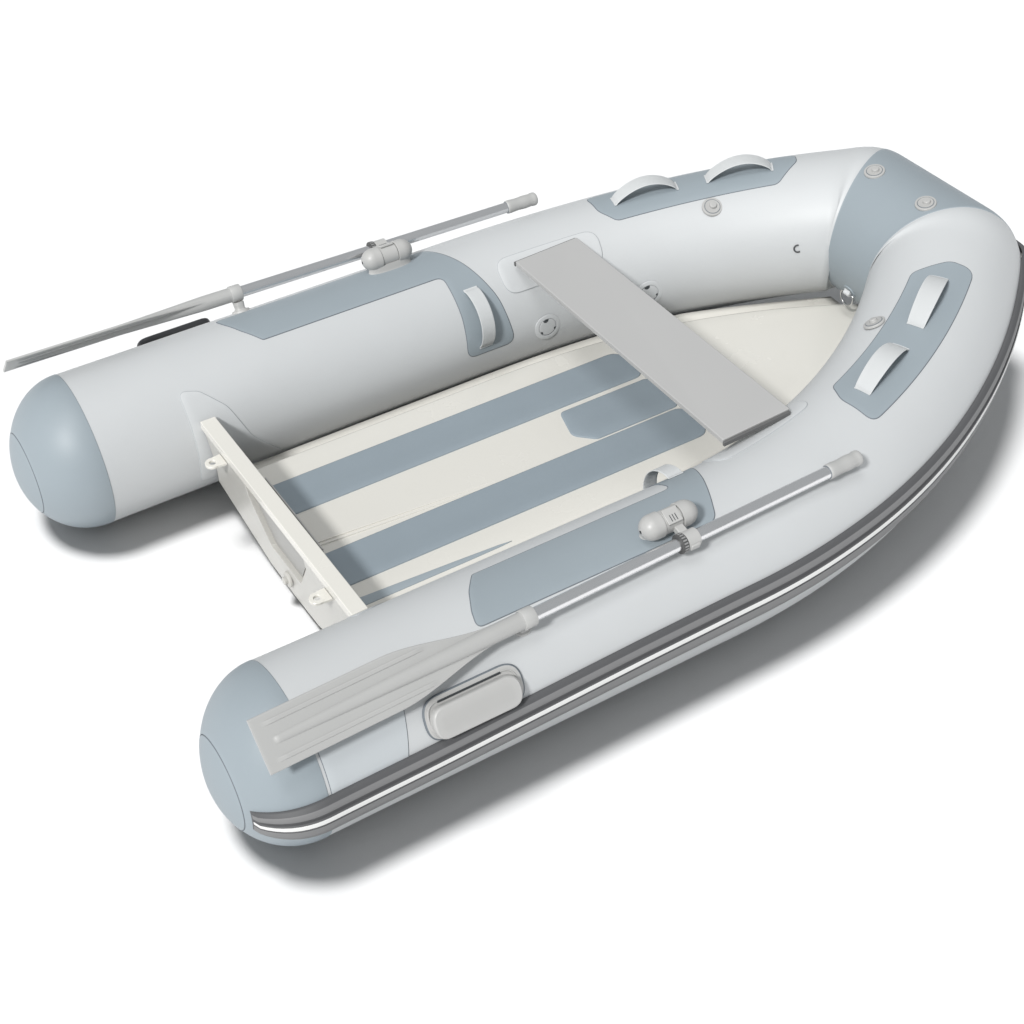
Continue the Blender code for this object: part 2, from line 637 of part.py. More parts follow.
def build_transom():
    """A raked board with a motor recess in its outer face, under a flat top rail."""
    def face(x, z, inset):
        return world(x, TRANSOM_Y + TRANSOM_RAKE * (RAIL_TOP - z) + inset, z)

    top = RAIL_TOP - RAIL_HEIGHT + 0.004
    outline = [(0.392, top), (0.383, 0.030), (0.383, -0.030), (0.398, -0.090), (0.402, -0.104), (0.130, -0.186), (0.0, -0.193)]
    loop = outline + [(-x, z) for x, z in reversed(outline[:-1])]
    board = loft("transom_board", [[face(x, z, inset) for x, z in loop] for inset in (0.0, TRANSOM_THICK)])
    board = add("transom_board", board, (WHITE, 0.35))
    under = RAIL_TOP - RAIL_HEIGHT - 0.002
    recess = [(-0.150, under), (0.150, under), (0.150, 0.040), (0.075, -0.075), (-0.075, -0.075), (-0.150, 0.040)]
    mouth = [(x * 1.06, z - (0.008 if z < under else 0.0)) for x, z in recess]
    rings = [[face(x, z, inset) for x, z in shape] for shape, inset in ((mouth, -0.02), (recess, 0.014))]
    form = loft("transom_recess", rings)
    boolean(board, cutter("transom_recess_form", form))
    drain = cylinder_mesh("drain_hole_form", 0.0135, 0.2, 20)
    hole = cutter("drain_hole_form", drain)
    hole.rotation_euler = (math.pi / 2, 0, 0)
    hole.location = world(0, TRANSOM_Y + 0.035, -0.130)
    boolean(board, hole)

    rail = box_mesh("transom_rail_form", world(-RAIL_HALF, TRANSOM_Y, RAIL_TOP - RAIL_HEIGHT),
                    world(RAIL_HALF, TRANSOM_Y + RAIL_DEPTH, RAIL_TOP), 0.002)
    boolean(board, cutter("transom_rail_form", rail), "UNION")

    inner = TRANSOM_THICK + GAP
    low, high = -0.004, 0.066
    plate = [(-0.152, low), (0.152, low), (0.152, high), (-0.152, high)]
    front = loft("motor_plate", [[face(x, z, inset) for x, z in plate] for inset in (inner, inner + 0.006)])
    add("motor_plate", front, (WARM_GREY, 0.5))

    for side, tag in ((1, "starboard"), (-1, "port")):
        lug = cylinder_mesh("transom_eye_" + tag, 0.019, 0.008, 20)
        eye = add("transom_eye_" + tag, lug, (WARM_GREY, 0.4))
        eye.location = world(side * 0.283, 0.236, 0.061)
        root = box_mesh("transom_eye_root_" + tag, world(side * 0.283 - 0.019, 0.236, 0.057),
                        world(side * 0.283 + 0.019, 0.2655, 0.065))
        boolean(eye, cutter("transom_eye_root_" + tag, root), "UNION")
        bore = cutter("transom_eye_bore_" + tag, cylinder_mesh("transom_eye_bore_" + tag, 0.0085, 0.05, 20))
        bore.location = eye.location
        boolean(eye, bore)

    plug = turned("drain_plug", [(0.0, 0.030), (0.0125, 0.030), (0.0125, 0.0), (0.021, 0.0), (0.021, -0.006),
                                 (0.010, -0.008), (0.010, -0.016), (0.0, -0.016)][::-1], (DARK_GREY, 0.5), 20)
    plug.rotation_euler = (-math.pi / 2, 0, 0)
    plug.location = world(0, TRANSOM_Y + TRANSOM_RAKE * (RAIL_TOP + 0.130) - 0.0025, -0.130)


# ---- seat, valves and bow ring ------------------------------------------------------------------
def build_seat():
    half = SEAT_WIDTH / 2
    board = box_mesh("seat", (-SEAT_HALF, -half, -SEAT_THICK), (SEAT_HALF, half, 0), 0.003)
    seat = add("seat", board, (LIGHT_GREY, 0.5))
    seat.location = world(0, SEAT_Y, SEAT_TOP)
    seat.rotation_euler = (SEAT_TILT, 0, 0)


def build_valves():
    """Inflation valves on the inboard side of the port tube: a flanged body with a screw cap."""
    for tag, s, angle in (("aft", 1.305, 178), ("fore", 1.652, 177)):
        point, normal, along = surface_frame(s, angle, -1)
        name = "valve_body_" + tag
        profile = [(0.020, 0.0), (0.020, -0.022), (0.024, -0.022), (0.024, 0.0010), (0.039, 0.0010), (0.037, 0.005),
                   (0.026, 0.006), (0.026, 0.0035), (0.020, 0.0035)]
        body = turned(name, profile[::-1], (LIGHT_GREY, 0.4), 24)
        stand_on(body, point, normal, along)
        form = cutter("valve_hole_" + tag, cylinder_mesh("valve_hole_" + tag, 0.0255, 0.06, 24))
        form.matrix_world = body.matrix_world.copy()
        boolean(bpy.data.objects["tube_port"], form)
        lid = [(0.0, -0.010), (0.0190, -0.010), (0.0190, 0.0042), (0.0240, 0.0042), (0.0240, 0.009), (0.006, 0.011), (0.0, 0.011)]
        cap = turned("valve_cap_" + tag, lid, (WARM_GREY, 0.4), 24)
        stand_on(cap, point, normal, along)


def build_bow_ring():
    """A D ring hinged on a base plate on the inner side of the bow tube."""
    turn = math.radians(207)
    normal = Vector((0, math.cos(turn), math.sin(turn)))
    point = world(0, MITRE_Y, BOW_RISE) + normal * TUBE_R
    plate = cylinder_mesh("bow_ring_base", 0.030, 0.004, 20)
    base = add("bow_ring_base", plate, (LIGHT_GREY, 0.5))
    stand_on(base, point + normal * 0.0030, normal, Vector((1, 0, 0)))
    barrel = bmesh.new()
    bmesh.ops.create_cone(barrel, cap_ends=True, segments=14, radius1=0.0065, radius2=0.0065, depth=0.026)
    bmesh.ops.rotate(barrel, verts=barrel.verts, cent=(0, 0, 0), matrix=Matrix.Rotation(math.pi / 2, 3, "X"))
    bmesh.ops.translate(barrel, verts=barrel.verts, vec=(0, 0, 0.006))
    form = bpy.data.meshes.new("bow_ring_barrel")
    barrel.to_mesh(form)
    barrel.free()
    loop = cutter("bow_ring_barrel", form)
    loop.matrix_world = base.matrix_world.copy()
    boolean(base, loop, "UNION")
    bore = bmesh.new()
    bmesh.ops.create_cone(bore, cap_ends=True, segments=14, radius1=0.0036, radius2=0.0036, depth=0.08)
    bmesh.ops.rotate(bore, verts=bore.verts, cent=(0, 0, 0), matrix=Matrix.Rotation(math.pi / 2, 3, "X"))
    bmesh.ops.translate(bore, verts=bore.verts, vec=(0, 0, 0.006))
    form = bpy.data.meshes.new("bow_ring_bore")
    bore.to_mesh(form)
    bore.free()
    hole = cutter("bow_ring_bore", form)
    hole.matrix_world = base.matrix_world.copy()
    boolean(base, hole)

    wire = bpy.data.curves.new("bow_ring", "CURVE")
    wire.dimensions = "3D"
    wire.bevel_depth = 0.003
    wire.bevel_resolution = 1
    line = wire.splines.new("POLY")
    loop = [(0, -0.024), (0, -0.012), (0, 0.0), (0, 0.012), (0, 0.024), (0.012, 0.0255), (0.026, 0.021), (0.036, 0.011),
            (0.039, 0.0), (0.036, -0.011), (0.026, -0.021), (0.012, -0.0255)]
    line.points.add(len(loop) - 1)
    for place, (drop, across) in zip(line.points, loop):
        place.co = (0, across, drop, 1)
    line.use_cyclic_u = True
    ring = bpy.data.objects.new("bow_ring", wire)
    BOAT.objects.link(ring)
    wire.materials.append(material("bow_ring_finish", (0.5, 0.5, 0.5), 0.3, 1.0))
    hinge = point + normal * 0.0090
    stand_on(ring, hinge, Vector((0, 0, -1)), Vector((1, 0, 0)))


# ---- rowlocks and oars --------------------------------------------------------------------------
def shaft_frame(side):
    """The oar's place: origin at the ring's centre, local Z forward, X outboard, Y down (up on the port side)."""
    origin = world(side * OAR_AXIS[0], OAR_AXIS[1], OAR_AXIS[2])
    forward = Vector((-side * OAR_TOE, 1, 0)).normalized()
    out = Vector((side, 0, 0))
    out = (out - forward * out.dot(forward)).normalized()
    third = forward.cross(out)
    return Matrix.Translation(origin) @ Matrix((out, third, forward)).transposed().to_4x4()


def lathe_bmesh(profile, sides):
    """Closed body of revolution about Z from rings of (radius, z)."""
    rings = []
    for radius, z in profile:
        rings.append([(radius * math.cos(2 * math.pi * i / sides), radius * math.sin(2 * math.pi * i / sides), z)
                      for i in range(sides)])
    return rings


def build_oar(side, tag):
    frame = shaft_frame(side)
    alloy = ((0.62, 0.64, 0.66), 0.25, 1.0)
    bore = SHAFT_R - 0.0015
    tube = loft("oar_shaft_" + tag, lathe_bmesh(
        [(bore, -0.451), (SHAFT_R, -0.451), (SHAFT_R, 0.400), (bore, 0.400), (bore, -0.451)], 20), caps=False)
    weld(tube)
    shaft = add("oar_shaft_" + tag, tube, alloy)
    shaft.matrix_world = frame
    grip = add("oar_grip_" + tag, loft("oar_grip_" + tag, lathe_bmesh(
        [(0.0165, 0.4005), (0.0185, 0.406), (0.0180, 0.450), (0.0190, 0.480), (0.0165, 0.494), (0.010, OAR_FORE)], 20)),
        (WARM_GREY, 0.6))
    grip.matrix_world = frame
    inner, outer = SHAFT_R + GAP, 0.0235
    collar_rings = lathe_bmesh([(inner, -0.032), (outer - 0.001, -0.032), (outer, -0.031), (outer, -0.019),
                                (outer - 0.001, -0.018), (inner, -0.018), (inner, -0.032)], 20)
    collar_mesh = loft("oar_collar_" + tag, collar_rings, caps=False)
    weld(collar_mesh)
    collar = add("oar_collar_" + tag, collar_mesh, (DARK_GREY, 0.7))
    collar.matrix_world = frame

    # The blade: a socket with a ring for the rest, a tapering neck and a flat blade turned to lie along the tube.
    width, thick = 0.116, 0.007
    lean = math.radians(45)
    sections = [(-0.416, 0.0225, 0.0225), (-0.444, 0.0225, 0.0225), (-0.446, 0.0190, 0.0190), (-0.520, 0.0190, 0.0175),
                (-0.600, 0.030, 0.0150), (-0.720, 0.0480, 0.0120), (-0.820, width / 2, 0.0085), (-1.040, width / 2, 0.0045),
                (OAR_AFT, width / 2 - 0.006, 0.0030)]
    rings = []
    for z, half, deep in sections:
        loop = []
        for i in range(20):
            turn = 2 * math.pi * i / 20
            flat = math.copysign(abs(math.cos(turn)) ** 0.8, math.cos(turn)) * half
            rise = math.sin(turn) * deep
            if half > 0.04:
                rise = math.copysign(min(abs(rise), thick / 2 + deep * (1 - abs(flat) / half) ** 2), rise)
            out = flat * math.cos(lean) + rise * math.sin(lean)
            down = flat * math.sin(lean) - rise * math.cos(lean)
            loop.append((out, side * down, z))
        rings.append(loop)
    blade = add("oar_blade_" + tag, loft("oar_blade_" + tag, rings), (LIGHT_GREY, 0.5))
    blade.matrix_world = frame
    socket = cutter("oar_socket_" + tag, cylinder_mesh("oar_socket_" + tag, SHAFT_R + GAP, 0.074, 20))
    socket.matrix_world = frame @ Matrix.Translation((0, 0, -0.4155))
    boolean(blade, socket)


def weld(mesh):
    body = bmesh.new()
    body.from_mesh(mesh)
    bmesh.ops.remove_doubles(body, verts=body.verts, dist=0.00001)
    bmesh.ops.recalc_face_normals(body, faces=body.faces)
    if body.calc_volume(signed=True) < 0:
        bmesh.ops.reverse_faces(body, faces=body.faces)
    body.to_mesh(mesh)
    body.free()


def build_rowlock(side, tag):
    """A pod with two domed ends on the tube, and between them a barrel that rolls and carries the ring."""
    centre = world(side * POD_AXIS[0], POD_AXIS[1], POD_AXIS[2])
    domes = []
    length, radius, gap_half = 0.0745, POD_R, 0.024
    for end in (-1, 1):
        profile = [(radius, gap_half), (radius, 0.042), (radius * 0.93, 0.054), (radius * 0.74, 0.065),
                   (radius * 0.38, 0.0725), (0.003, length)]
        domes.append(loft("pod_dome_%s_%d" % (tag, end), lathe_bmesh([(r, end * z) for r, z in profile], 20)))
    stem = cylinder_mesh("pod_pin_" + tag, 0.0080, 2 * gap_half + 0.01, 16)
    tilt = math.degrees(math.atan2(POD_AXIS[2], POD_AXIS[0] - TUBE_X))
    pod = add("rowlock_pod_" + tag, domes[0], (WARM_GREY, 0.4))
    pod.matrix_world = Matrix.Translation(centre) @ Matrix.Rotation(-math.pi / 2, 4, "X")
    rows = []
    for s in (POD_AXIS[1] - 0.066, POD_AXIS[1] + 0.066):
        loop = [skin(s, tilt + a, 0.0030, side) for a in (-9, -5.4, -1.8, 1.8, 5.4, 9)]
        loop += [skin(s, tilt + 7, 0.016, side), skin(s, tilt - 7, 0.016, side)]
        rows.append(loop)
    saddle = cutter("pod_saddle_" + tag, loft("pod_saddle_" + tag, rows))
    room = cylinder_mesh("pod_room_" + tag, 0.0275, 2 * gap_half - 0.0004, 24)
    boolean(pod, saddle, "UNION")
    for label, form, kind in (("dome", domes[1], "UNION"), ("room", room, "DIFFERENCE"), ("pin", stem, "UNION")):
        tool = cutter("pod_%s_form_%s" % (label, tag), form)
        tool.matrix_world = pod.matrix_world.copy()
        boolean(pod, tool, kind)

    profile = [(0.0084, -0.0232), (0.0258, -0.0232), (0.0258, 0.0232), (0.0084, 0.0232), (0.0084, -0.0232)]
    barrel_rings = lathe_bmesh(profile, 20)
    barrel = loft("rowlock_ring_" + tag, barrel_rings, caps=False)
    weld(barrel)
    yoke = add("rowlock_ring_" + tag, barrel, (WARM_GREY, 0.4))
    yoke.matrix_world = pod.matrix_world.copy()
    eye = loft("oar_eye_" + tag, lathe_bmesh([(SHAFT_R + GAP, -0.0165), (0.0215, -0.0165), (0.0215, 0.0165),
                                              (SHAFT_R + GAP, 0.0165), (SHAFT_R + GAP, -0.0165)], 20), caps=False)
    weld(eye)
    arm_low = (0.021, -0.003, -0.0090)
    arm_high = (0.047, 0.021, 0.0090)
    arm = box_mesh("rowlock_arm_" + tag, arm_low, arm_high)
    arm_tool = cutter("rowlock_arm_" + tag, arm)
    eye_frame = shaft_frame(side)
    reach = eye_frame.translation - centre
    out = Vector((reach.x, 0, reach.z)).normalized()
    along = Vector((0, 1, 0))
    arm_tool.matrix_world = Matrix.Translation(centre) @ Matrix((out, along, out.cross(along))).transposed().to_4x4()
    boolean(yoke, arm_tool, "UNION")
    eye_tool = cutter("oar_eye_" + tag, eye)
    eye_tool.matrix_world = eye_frame
    boolean(yoke, eye_tool, "UNION")
    bore = cutter("oar_eye_bore_" + tag, cylinder_mesh("oar_eye_bore_" + tag, SHAFT_R + GAP, 0.08, 20))
    bore.matrix_world = eye_frame
    boolean(yoke, bore)
    pin = cutter("pod_pin_bore_" + tag, cylinder_mesh("pod_pin_bore_" + tag, 0.0084, 0.08, 16))
    pin.matrix_world = pod.matrix_world.copy()
    boolean(yoke, pin)


def build_oar_rest(side, tag):
    """A round foot on the tube with a short post, on which the oar's socket lies when it is stowed."""
    at = shaft_frame(side) @ Vector((0, 0, -0.430))
    lean = math.degrees(math.atan2(at.z - AXIS_Z, abs(at.x) - TUBE_X))
    foot, normal, along = surface_frame(at.y - STERN_Y, lean, side)
    reach = (at - foot).length
    top = reach - 0.0245
    profile = [(0.0, SKIN_GAP), (0.0245, SKIN_GAP), (0.0245, 0.0050), (0.0230, 0.0065), (0.0115, 0.0080), (0.0105, top), (0.0, top)]
    rest = turned("oar_rest_" + tag, profile, (WARM_GREY, 0.45), 20)
    stand_on(rest, foot, normal, along)


build_tubes()
build_cones()
build_patches()
build_handles()
build_strakes()
build_buttons()
build_grab_handles()
build_hull()
build_deck()
build_transom()
build_seat()
build_valves()
build_bow_ring()
for number, label in ((1, "starboard"), (-1, "port")):
    build_rowlock(number, label)
    build_oar(number, label)
    build_oar_rest(number, label)
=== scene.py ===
import math
from contextlib import contextmanager

import bmesh
import bpy
import numpy as np
from mathutils import Matrix, Vector
from mathutils.geometry import delaunay_2d_cdt

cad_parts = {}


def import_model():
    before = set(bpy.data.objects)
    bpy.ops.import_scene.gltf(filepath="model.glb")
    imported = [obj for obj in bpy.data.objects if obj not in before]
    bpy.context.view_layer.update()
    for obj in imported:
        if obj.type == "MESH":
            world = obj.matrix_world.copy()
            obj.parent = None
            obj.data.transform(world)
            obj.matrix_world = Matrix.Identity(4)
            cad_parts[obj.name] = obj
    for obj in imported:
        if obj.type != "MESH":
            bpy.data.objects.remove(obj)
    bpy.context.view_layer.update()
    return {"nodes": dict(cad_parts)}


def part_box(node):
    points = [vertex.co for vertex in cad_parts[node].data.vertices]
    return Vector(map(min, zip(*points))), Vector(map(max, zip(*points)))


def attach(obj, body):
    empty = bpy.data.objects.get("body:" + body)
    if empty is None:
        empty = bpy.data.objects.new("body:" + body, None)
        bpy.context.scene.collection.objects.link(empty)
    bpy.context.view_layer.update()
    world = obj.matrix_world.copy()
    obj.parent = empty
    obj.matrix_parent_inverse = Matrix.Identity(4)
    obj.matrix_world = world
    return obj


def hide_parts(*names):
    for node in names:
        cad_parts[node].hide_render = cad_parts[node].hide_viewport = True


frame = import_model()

NODES = frame["nodes"]
SIDES = ((1, "starboard"), (-1, "port"))

# ---- driving dimensions, in metres, as in the CAD ----
CONE_LOW, CONE_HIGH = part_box("stern_cone_starboard")
STERN_Y = CONE_HIGH.y  # world y of the stern cone seam, where a station is 0
TUBE_R = (CONE_HIGH.x - CONE_LOW.x) / 2
TUBE_X = (CONE_HIGH.x + CONE_LOW.x) / 2
AXIS_Z = (CONE_HIGH.z + CONE_LOW.z) / 2
DOME_LENGTH = CONE_HIGH.y - CONE_LOW.y
BEND_START = 1.066
BEND_ARC = 1.260
BEND_POWER = 1.178
BOW_HEADING = math.radians(44.14)
BOW_RISE = 0.158
ROUND = 112  # points round a tube
CONE_DROP = 0.014  # how far the tip of a stern cone sags
PANEL_LIFT = 0.0009  # the blue-grey fabric of the bow and the cones over the tubes' own
STRAKE_TIP = 0.1365  # how far round a stern cone the strake runs
STRAKE_BOW = 1.2  # degrees by which it runs above its CAD line along the bow tube

HULL_ENDS = (0.322, 2.098)  # stations
DECK_ENDS = (0.3285, 2.108)
DECK_Z = -0.017
TRANSOM_Y = 0.262
TRANSOM_RAKE = 0.107  # forward lean of the board per metre down
OAR_AXIS = (0.7055, 0.948, 0.214)
OAR_TOE = 0.0283
SHAFT_R = 0.015
POD_AXIS = (0.6424, 0.9347, 0.2286)
POD_R = 0.0302
BLADE_TOP = -0.4440  # along the oar, where its socket starts
BLADE_LENGTH = 0.608

# The photo's camera: its place, its azimuth, elevation and roll, and its lens for a 36 mm sensor.
EYE = (2.743, -0.752, 2.617)
LOOK = (58.557, 41.414, -0.969)
LENS = 57.244


def world(x, station, height):
    return Vector((x, station + STERN_Y, height + AXIS_Z))


# ---- camera, lights and floor ----
def look_from(place, azimuth, elevation, roll):
    """Rotation of a camera or light that looks back at the boat from that azimuth and elevation."""
    a, e, r = (math.radians(v) for v in (azimuth, elevation, roll))
    back = Vector((math.sin(a) * math.cos(e), -math.cos(a) * math.cos(e), math.sin(e)))
    right = Vector((math.cos(a), math.sin(a), 0))
    up = back.cross(right)
    turned = math.cos(r) * right + math.sin(r) * up
    risen = -math.sin(r) * right + math.cos(r) * up
    return Matrix.Translation(place) @ Matrix((turned, risen, back)).transposed().to_4x4()


def make_camera():
    data = bpy.data.cameras.new("view")
    data.sensor_width = 36.0
    data.lens = LENS
    camera = bpy.data.objects.new("view", data)
    bpy.context.scene.collection.objects.link(camera)
    camera.matrix_world = look_from(world(*EYE), *LOOK)
    bpy.context.scene.camera = camera


def sun(name, strength, softness, azimuth, elevation, colour, only):
    """A sun from that azimuth and elevation, which lights just one collection."""
    data = bpy.data.lights.new(name, "SUN")
    data.energy = strength
    data.angle = math.radians(softness)
    data.color = colour
    lamp = bpy.data.objects.new(name, data)
    bpy.context.scene.collection.objects.link(lamp)
    lamp.matrix_world = look_from((0, 0, 4), azimuth, elevation, 0)
    lamp.light_linking.receiver_collection = only


def make_studio():
    """A pale dome over the scene, and the paper floor, which stays out of the part."""
    scene = bpy.context.scene
    scene.view_settings.view_transform = "Standard"
    world_data = bpy.data.worlds.new("studio")
    world_data.use_nodes = True
    background = world_data.node_tree.nodes["Background"]
    background.inputs["Color"].default_value = (0.95, 0.98, 1.0, 1)
    background.inputs["Strength"].default_value = 0.42
    scene.world = world_data

    mesh = bpy.data.meshes.new("floor")
    mesh.from_pydata([(-40, -40, 0), (40, -40, 0), (40, 40, 0), (-40, 40, 0)], [], [(0, 1, 2, 3)])
    floor = bpy.data.objects.new("floor", mesh)
    scene.collection.objects.link(floor)
    paper = bpy.data.materials.new("floor_paper")
    paper.use_nodes = True
    shader = paper.node_tree.nodes["Principled BSDF"]
    shader.inputs["Base Color"].default_value = (0.60, 0.60, 0.60, 1)
    shader.inputs["Roughness"].default_value = 1.0
    shader.inputs["Specular IOR Level"].default_value = 0.0
    mesh.materials.append(paper)
    return floor


def gather(name, items):
    collection = bpy.data.collections.new(name)
    bpy.context.scene.collection.children.link(collection)
    for item in items:
        collection.objects.link(item)
    return collection


def light_up(floor):
    """The lamps, once the pieces are there: one for the floor alone, the others for the boat alone."""
    meshes = [item for item in bpy.context.scene.objects if item.type == "MESH"]
    ground = gather("floor_only", [floor])
    boat = gather("boat_only", [item for item in meshes if item is not floor])
    sun("key", 2.65, 8, 28, 43, (1.0, 0.996, 0.985), boat)
    sun("top", 0.75, 20, 20, 74, (1, 1, 1), boat)
    sun("floor_lamp", 4.35, 14, -12, 78, (1, 1, 1), ground)


# ---- materials ----
def build_material(name, colour, rough, metal=0.0, grain=(900, 0.02), mottle=0.04, weave=None, dots=None,
                   streak=None, coat=0.0):
    """A Principled material with a mottled colour, uneven roughness and a fine bump.

    grain: scale and strength of the fine bump. weave: (pitch in metres, strength) of a woven bump on the
    UV map. dots: (pitch, strength) of a raised non-slip pattern. streak: stretch of brushed marks in z."""
    mat = bpy.data.materials.new(name)
    mat.use_nodes = True
    nodes, links = mat.node_tree.nodes, mat.node_tree.links
    shader = nodes["Principled BSDF"]

    def add(kind, values=None, **settings):
        """A node with those settings and input values; a value may be another node's output."""
        node = nodes.new("ShaderNode" + kind)
        for key, value in settings.items():
            setattr(node, key, value)
        return fill(node, values or {})

    def fill(node, values):
        for key, value in values.items():
            if isinstance(value, bpy.types.NodeSocket):
                links.new(value, node.inputs[key])
            else:
                node.inputs[key].default_value = value
        return node

    fill(shader, {"Metallic": metal, "Specular IOR Level": 0.5, "Coat Weight": coat})
    place = add("TexCoord")
    spot = place.outputs["Object"]
    broad = add("TexNoise", {"Scale": 7.0, "Detail": 6.0, "Vector": spot})
    low = tuple(c * (1 - mottle) for c in colour)
    high = tuple(min(1.0, c * (1 + mottle)) for c in colour)
    tint = add("Mix", {"A": (*low, 1), "B": (*high, 1), "Factor": broad.outputs["Fac"]}, data_type="RGBA")

    # Painted shade darkens concave corners and creases, and a painted highlight makes convex edges a little
    # paler.
    painted_shade_and_highlight = add("NewGeometry")
    ramp = add("MapRange", {"From Min": 0.46, "From Max": 0.54, "To Min": 0.90, "To Max": 1.06,
                            "Value": painted_shade_and_highlight.outputs["Pointiness"]})
    shade = add("Mix", {"Factor": 1.0, "A": tint.outputs["Result"], "B": ramp.outputs["Result"]},
                data_type="RGBA", blend_type="MULTIPLY")
    gloss = add("MapRange", {"To Min": max(0.02, rough - 0.06), "To Max": min(1.0, rough + 0.06),
                             "Value": broad.outputs["Fac"]})
    fill(shader, {"Base Color": shade.outputs["Result"], "Roughness": gloss.outputs["Result"]})

    if streak:
        spot = add("Mapping", {"Scale": streak, "Vector": spot}).outputs["Vector"]
    fine = add("TexNoise", {"Scale": grain[0], "Detail": 3.0, "Vector": spot})
    height = fine.outputs["Fac"]
    if weave or dots:
        pitch, strength = weave or dots
        threads = []
        for axis in ("X", "Y"):
            wave = add("TexWave", {"Scale": 0.314 / pitch, "Vector": place.outputs["UV"]},
                       bands_direction=axis)
            threads.append(wave.outputs["Fac"])
        cross = add("Math", {0: threads[0], 1: threads[1]}, operation="MULTIPLY" if dots else "MAXIMUM")
        both = add("Math", {0: cross.outputs[0], 1: strength, 2: height}, operation="MULTIPLY_ADD")
        height = both.outputs[0]
    bump = add("Bump", {"Strength": grain[1], "Distance": 0.002, "Height": height})
    fill(shader, {"Normal": bump.outputs["Normal"]})
    return mat


# The fabric's weave, and the fine grain of cloth, rubber, moulded plastic and gelcoat.
CLOTH = (0.0012, 1.5)
SOFT = (500, 0.05)
RUB = (600, 0.06)
CAST = (1400, 0.05)
GEL = (240, 0.012)
FABRIC = build_material("coated_fabric_pale", (0.552, 0.566, 0.574), 0.46, weave=CLOTH, grain=SOFT,
                        mottle=0.02)
PANEL = build_material("coated_fabric_blue_grey", (0.292, 0.336, 0.366), 0.48, weave=CLOTH, grain=SOFT,
                       mottle=0.03)
EDGE = build_material("glued_edge", (0.15, 0.17, 0.19), 0.6)
PALE_EDGE = build_material("glued_edge_pale", (0.40, 0.42, 0.43), 0.6)
BADGE = build_material("coated_fabric_badge", (0.50, 0.53, 0.55), 0.42, grain=SOFT, mottle=0.02)
GELCOAT = build_material("gelcoat_white", (0.66, 0.645, 0.600), 0.26, grain=GEL, mottle=0.015, coat=0.15)
# The transom board and its drain bung are the white gelcoat made darker: painted shade on the aft-facing
# transom.
TRANSOM_PAINTED_SHADE = build_material("gelcoat_transom_painted_shade", (0.46, 0.452, 0.425), 0.30, grain=GEL, mottle=0.015)
# A still darker gelcoat for a thin plate in the motor recess: painted shade in the recess.
RECESS_PAINTED_SHADE = build_material("gelcoat_recess_painted_shade", (0.30, 0.297, 0.285), 0.35, grain=GEL, mottle=0.015)
PAD = build_material("deck_pad_rubber", (0.245, 0.290, 0.325), 0.72, dots=(0.006, 0.4), grain=(700, 0.10),
                     mottle=0.04)
RUBBER = build_material("strake_mid", (0.185, 0.185, 0.188), 0.55, grain=RUB, mottle=0.06)
RUBBER_DARK = build_material("strake_dark", (0.085, 0.086, 0.09), 0.60, grain=RUB, mottle=0.08)
RUBBER_PALE = build_material("strake_pale", (0.27, 0.27, 0.27), 0.50, grain=RUB, mottle=0.05)
STRIPE = build_material("strake_stripe", (0.72, 0.72, 0.71), 0.45, grain=(600, 0.04), mottle=0.03)
WEBBING = build_material("webbing", (0.60, 0.615, 0.62), 0.78, weave=(0.0022, 3.0), grain=(900, 0.35),
                         mottle=0.05)
PLASTIC = build_material("moulded_plastic", (0.445, 0.443, 0.434), 0.40, grain=CAST, mottle=0.03)
BLADE = build_material("blade_plastic", (0.435, 0.436, 0.428), 0.42, grain=CAST, mottle=0.03)
ALLOY = build_material("oar_alloy", (0.86, 0.86, 0.87), 0.24, metal=1.0, grain=(260, 0.02), mottle=0.03,
                       streak=(1.0, 0.02, 1.0))
COLLAR = build_material("collar_rubber", (0.07, 0.07, 0.07), 0.62, grain=(900, 0.1), mottle=0.1)
SEAT = build_material("seat_paint", (0.430, 0.428, 0.424), 0.38, grain=(500, 0.03), mottle=0.015)
SEAT_EDGE = build_material("seat_edge_strip", (0.12, 0.12, 0.12), 0.5, grain=(600, 0.05))
STEEL = build_material("ring_steel", (0.62, 0.62, 0.62), 0.24, metal=1.0, grain=(300, 0.03))
# Dark plastic: on the port grab handle it is painted shade, that handle being the pale plastic of the
# starboard one; the small port bow hook is in it too.
SHADED = build_material("moulded_plastic_dark", (0.060, 0.062, 0.066), 0.45, grain=CAST, mottle=0.05)
# Near-black painted shade, laid inside hollows: finger gaps, valve recesses and notches, the rowlock dome's
# dimple and plate slots.
PAINTED_HOLLOW_SHADE = build_material("painted_hollow_shade", (0.045, 0.05, 0.055), 0.7, grain=(600, 0.05))


# ---- mesh helpers ----
def make_piece(name, points, faces, materials, marks=None, uvs=None, sharp=None):
    """A piece from points and faces. marks gives each face's material number, uvs one pair a point."""
    mesh = bpy.data.meshes.new(name)
    mesh.from_pydata([tuple(p) for p in points], [], faces)
    for mat in materials:
        mesh.materials.append(mat)
    if marks is not None:
        mesh.polygons.foreach_set("material_index", marks)
    layer = mesh.uv_layers.new(name="UVMap")
    if uvs is not None:
        loops = np.zeros(len(mesh.loops), np.int32)
        mesh.loops.foreach_get("vertex_index", loops)
        layer.data.foreach_set("uv", np.asarray(uvs, np.float32)[loops].ravel())
    mesh.shade_smooth()
    if sharp:
        mesh.set_sharp_from_angle(angle=math.radians(sharp))
    mesh.update()
    piece = bpy.data.objects.new(name, mesh)
    bpy.context.scene.collection.objects.link(piece)
    return piece


def finish_piece(piece, body, slot, *nodes):
    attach(piece, body)
    if nodes:
        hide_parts(*nodes)
    return piece


def moulded(piece, *nodes, body="boat"):
    return finish_piece(piece, body, "moulded_plastic", *nodes)


def turns(count):
    """Angles evenly round a circle."""
    return [2 * math.pi * k / count for k in range(count)]


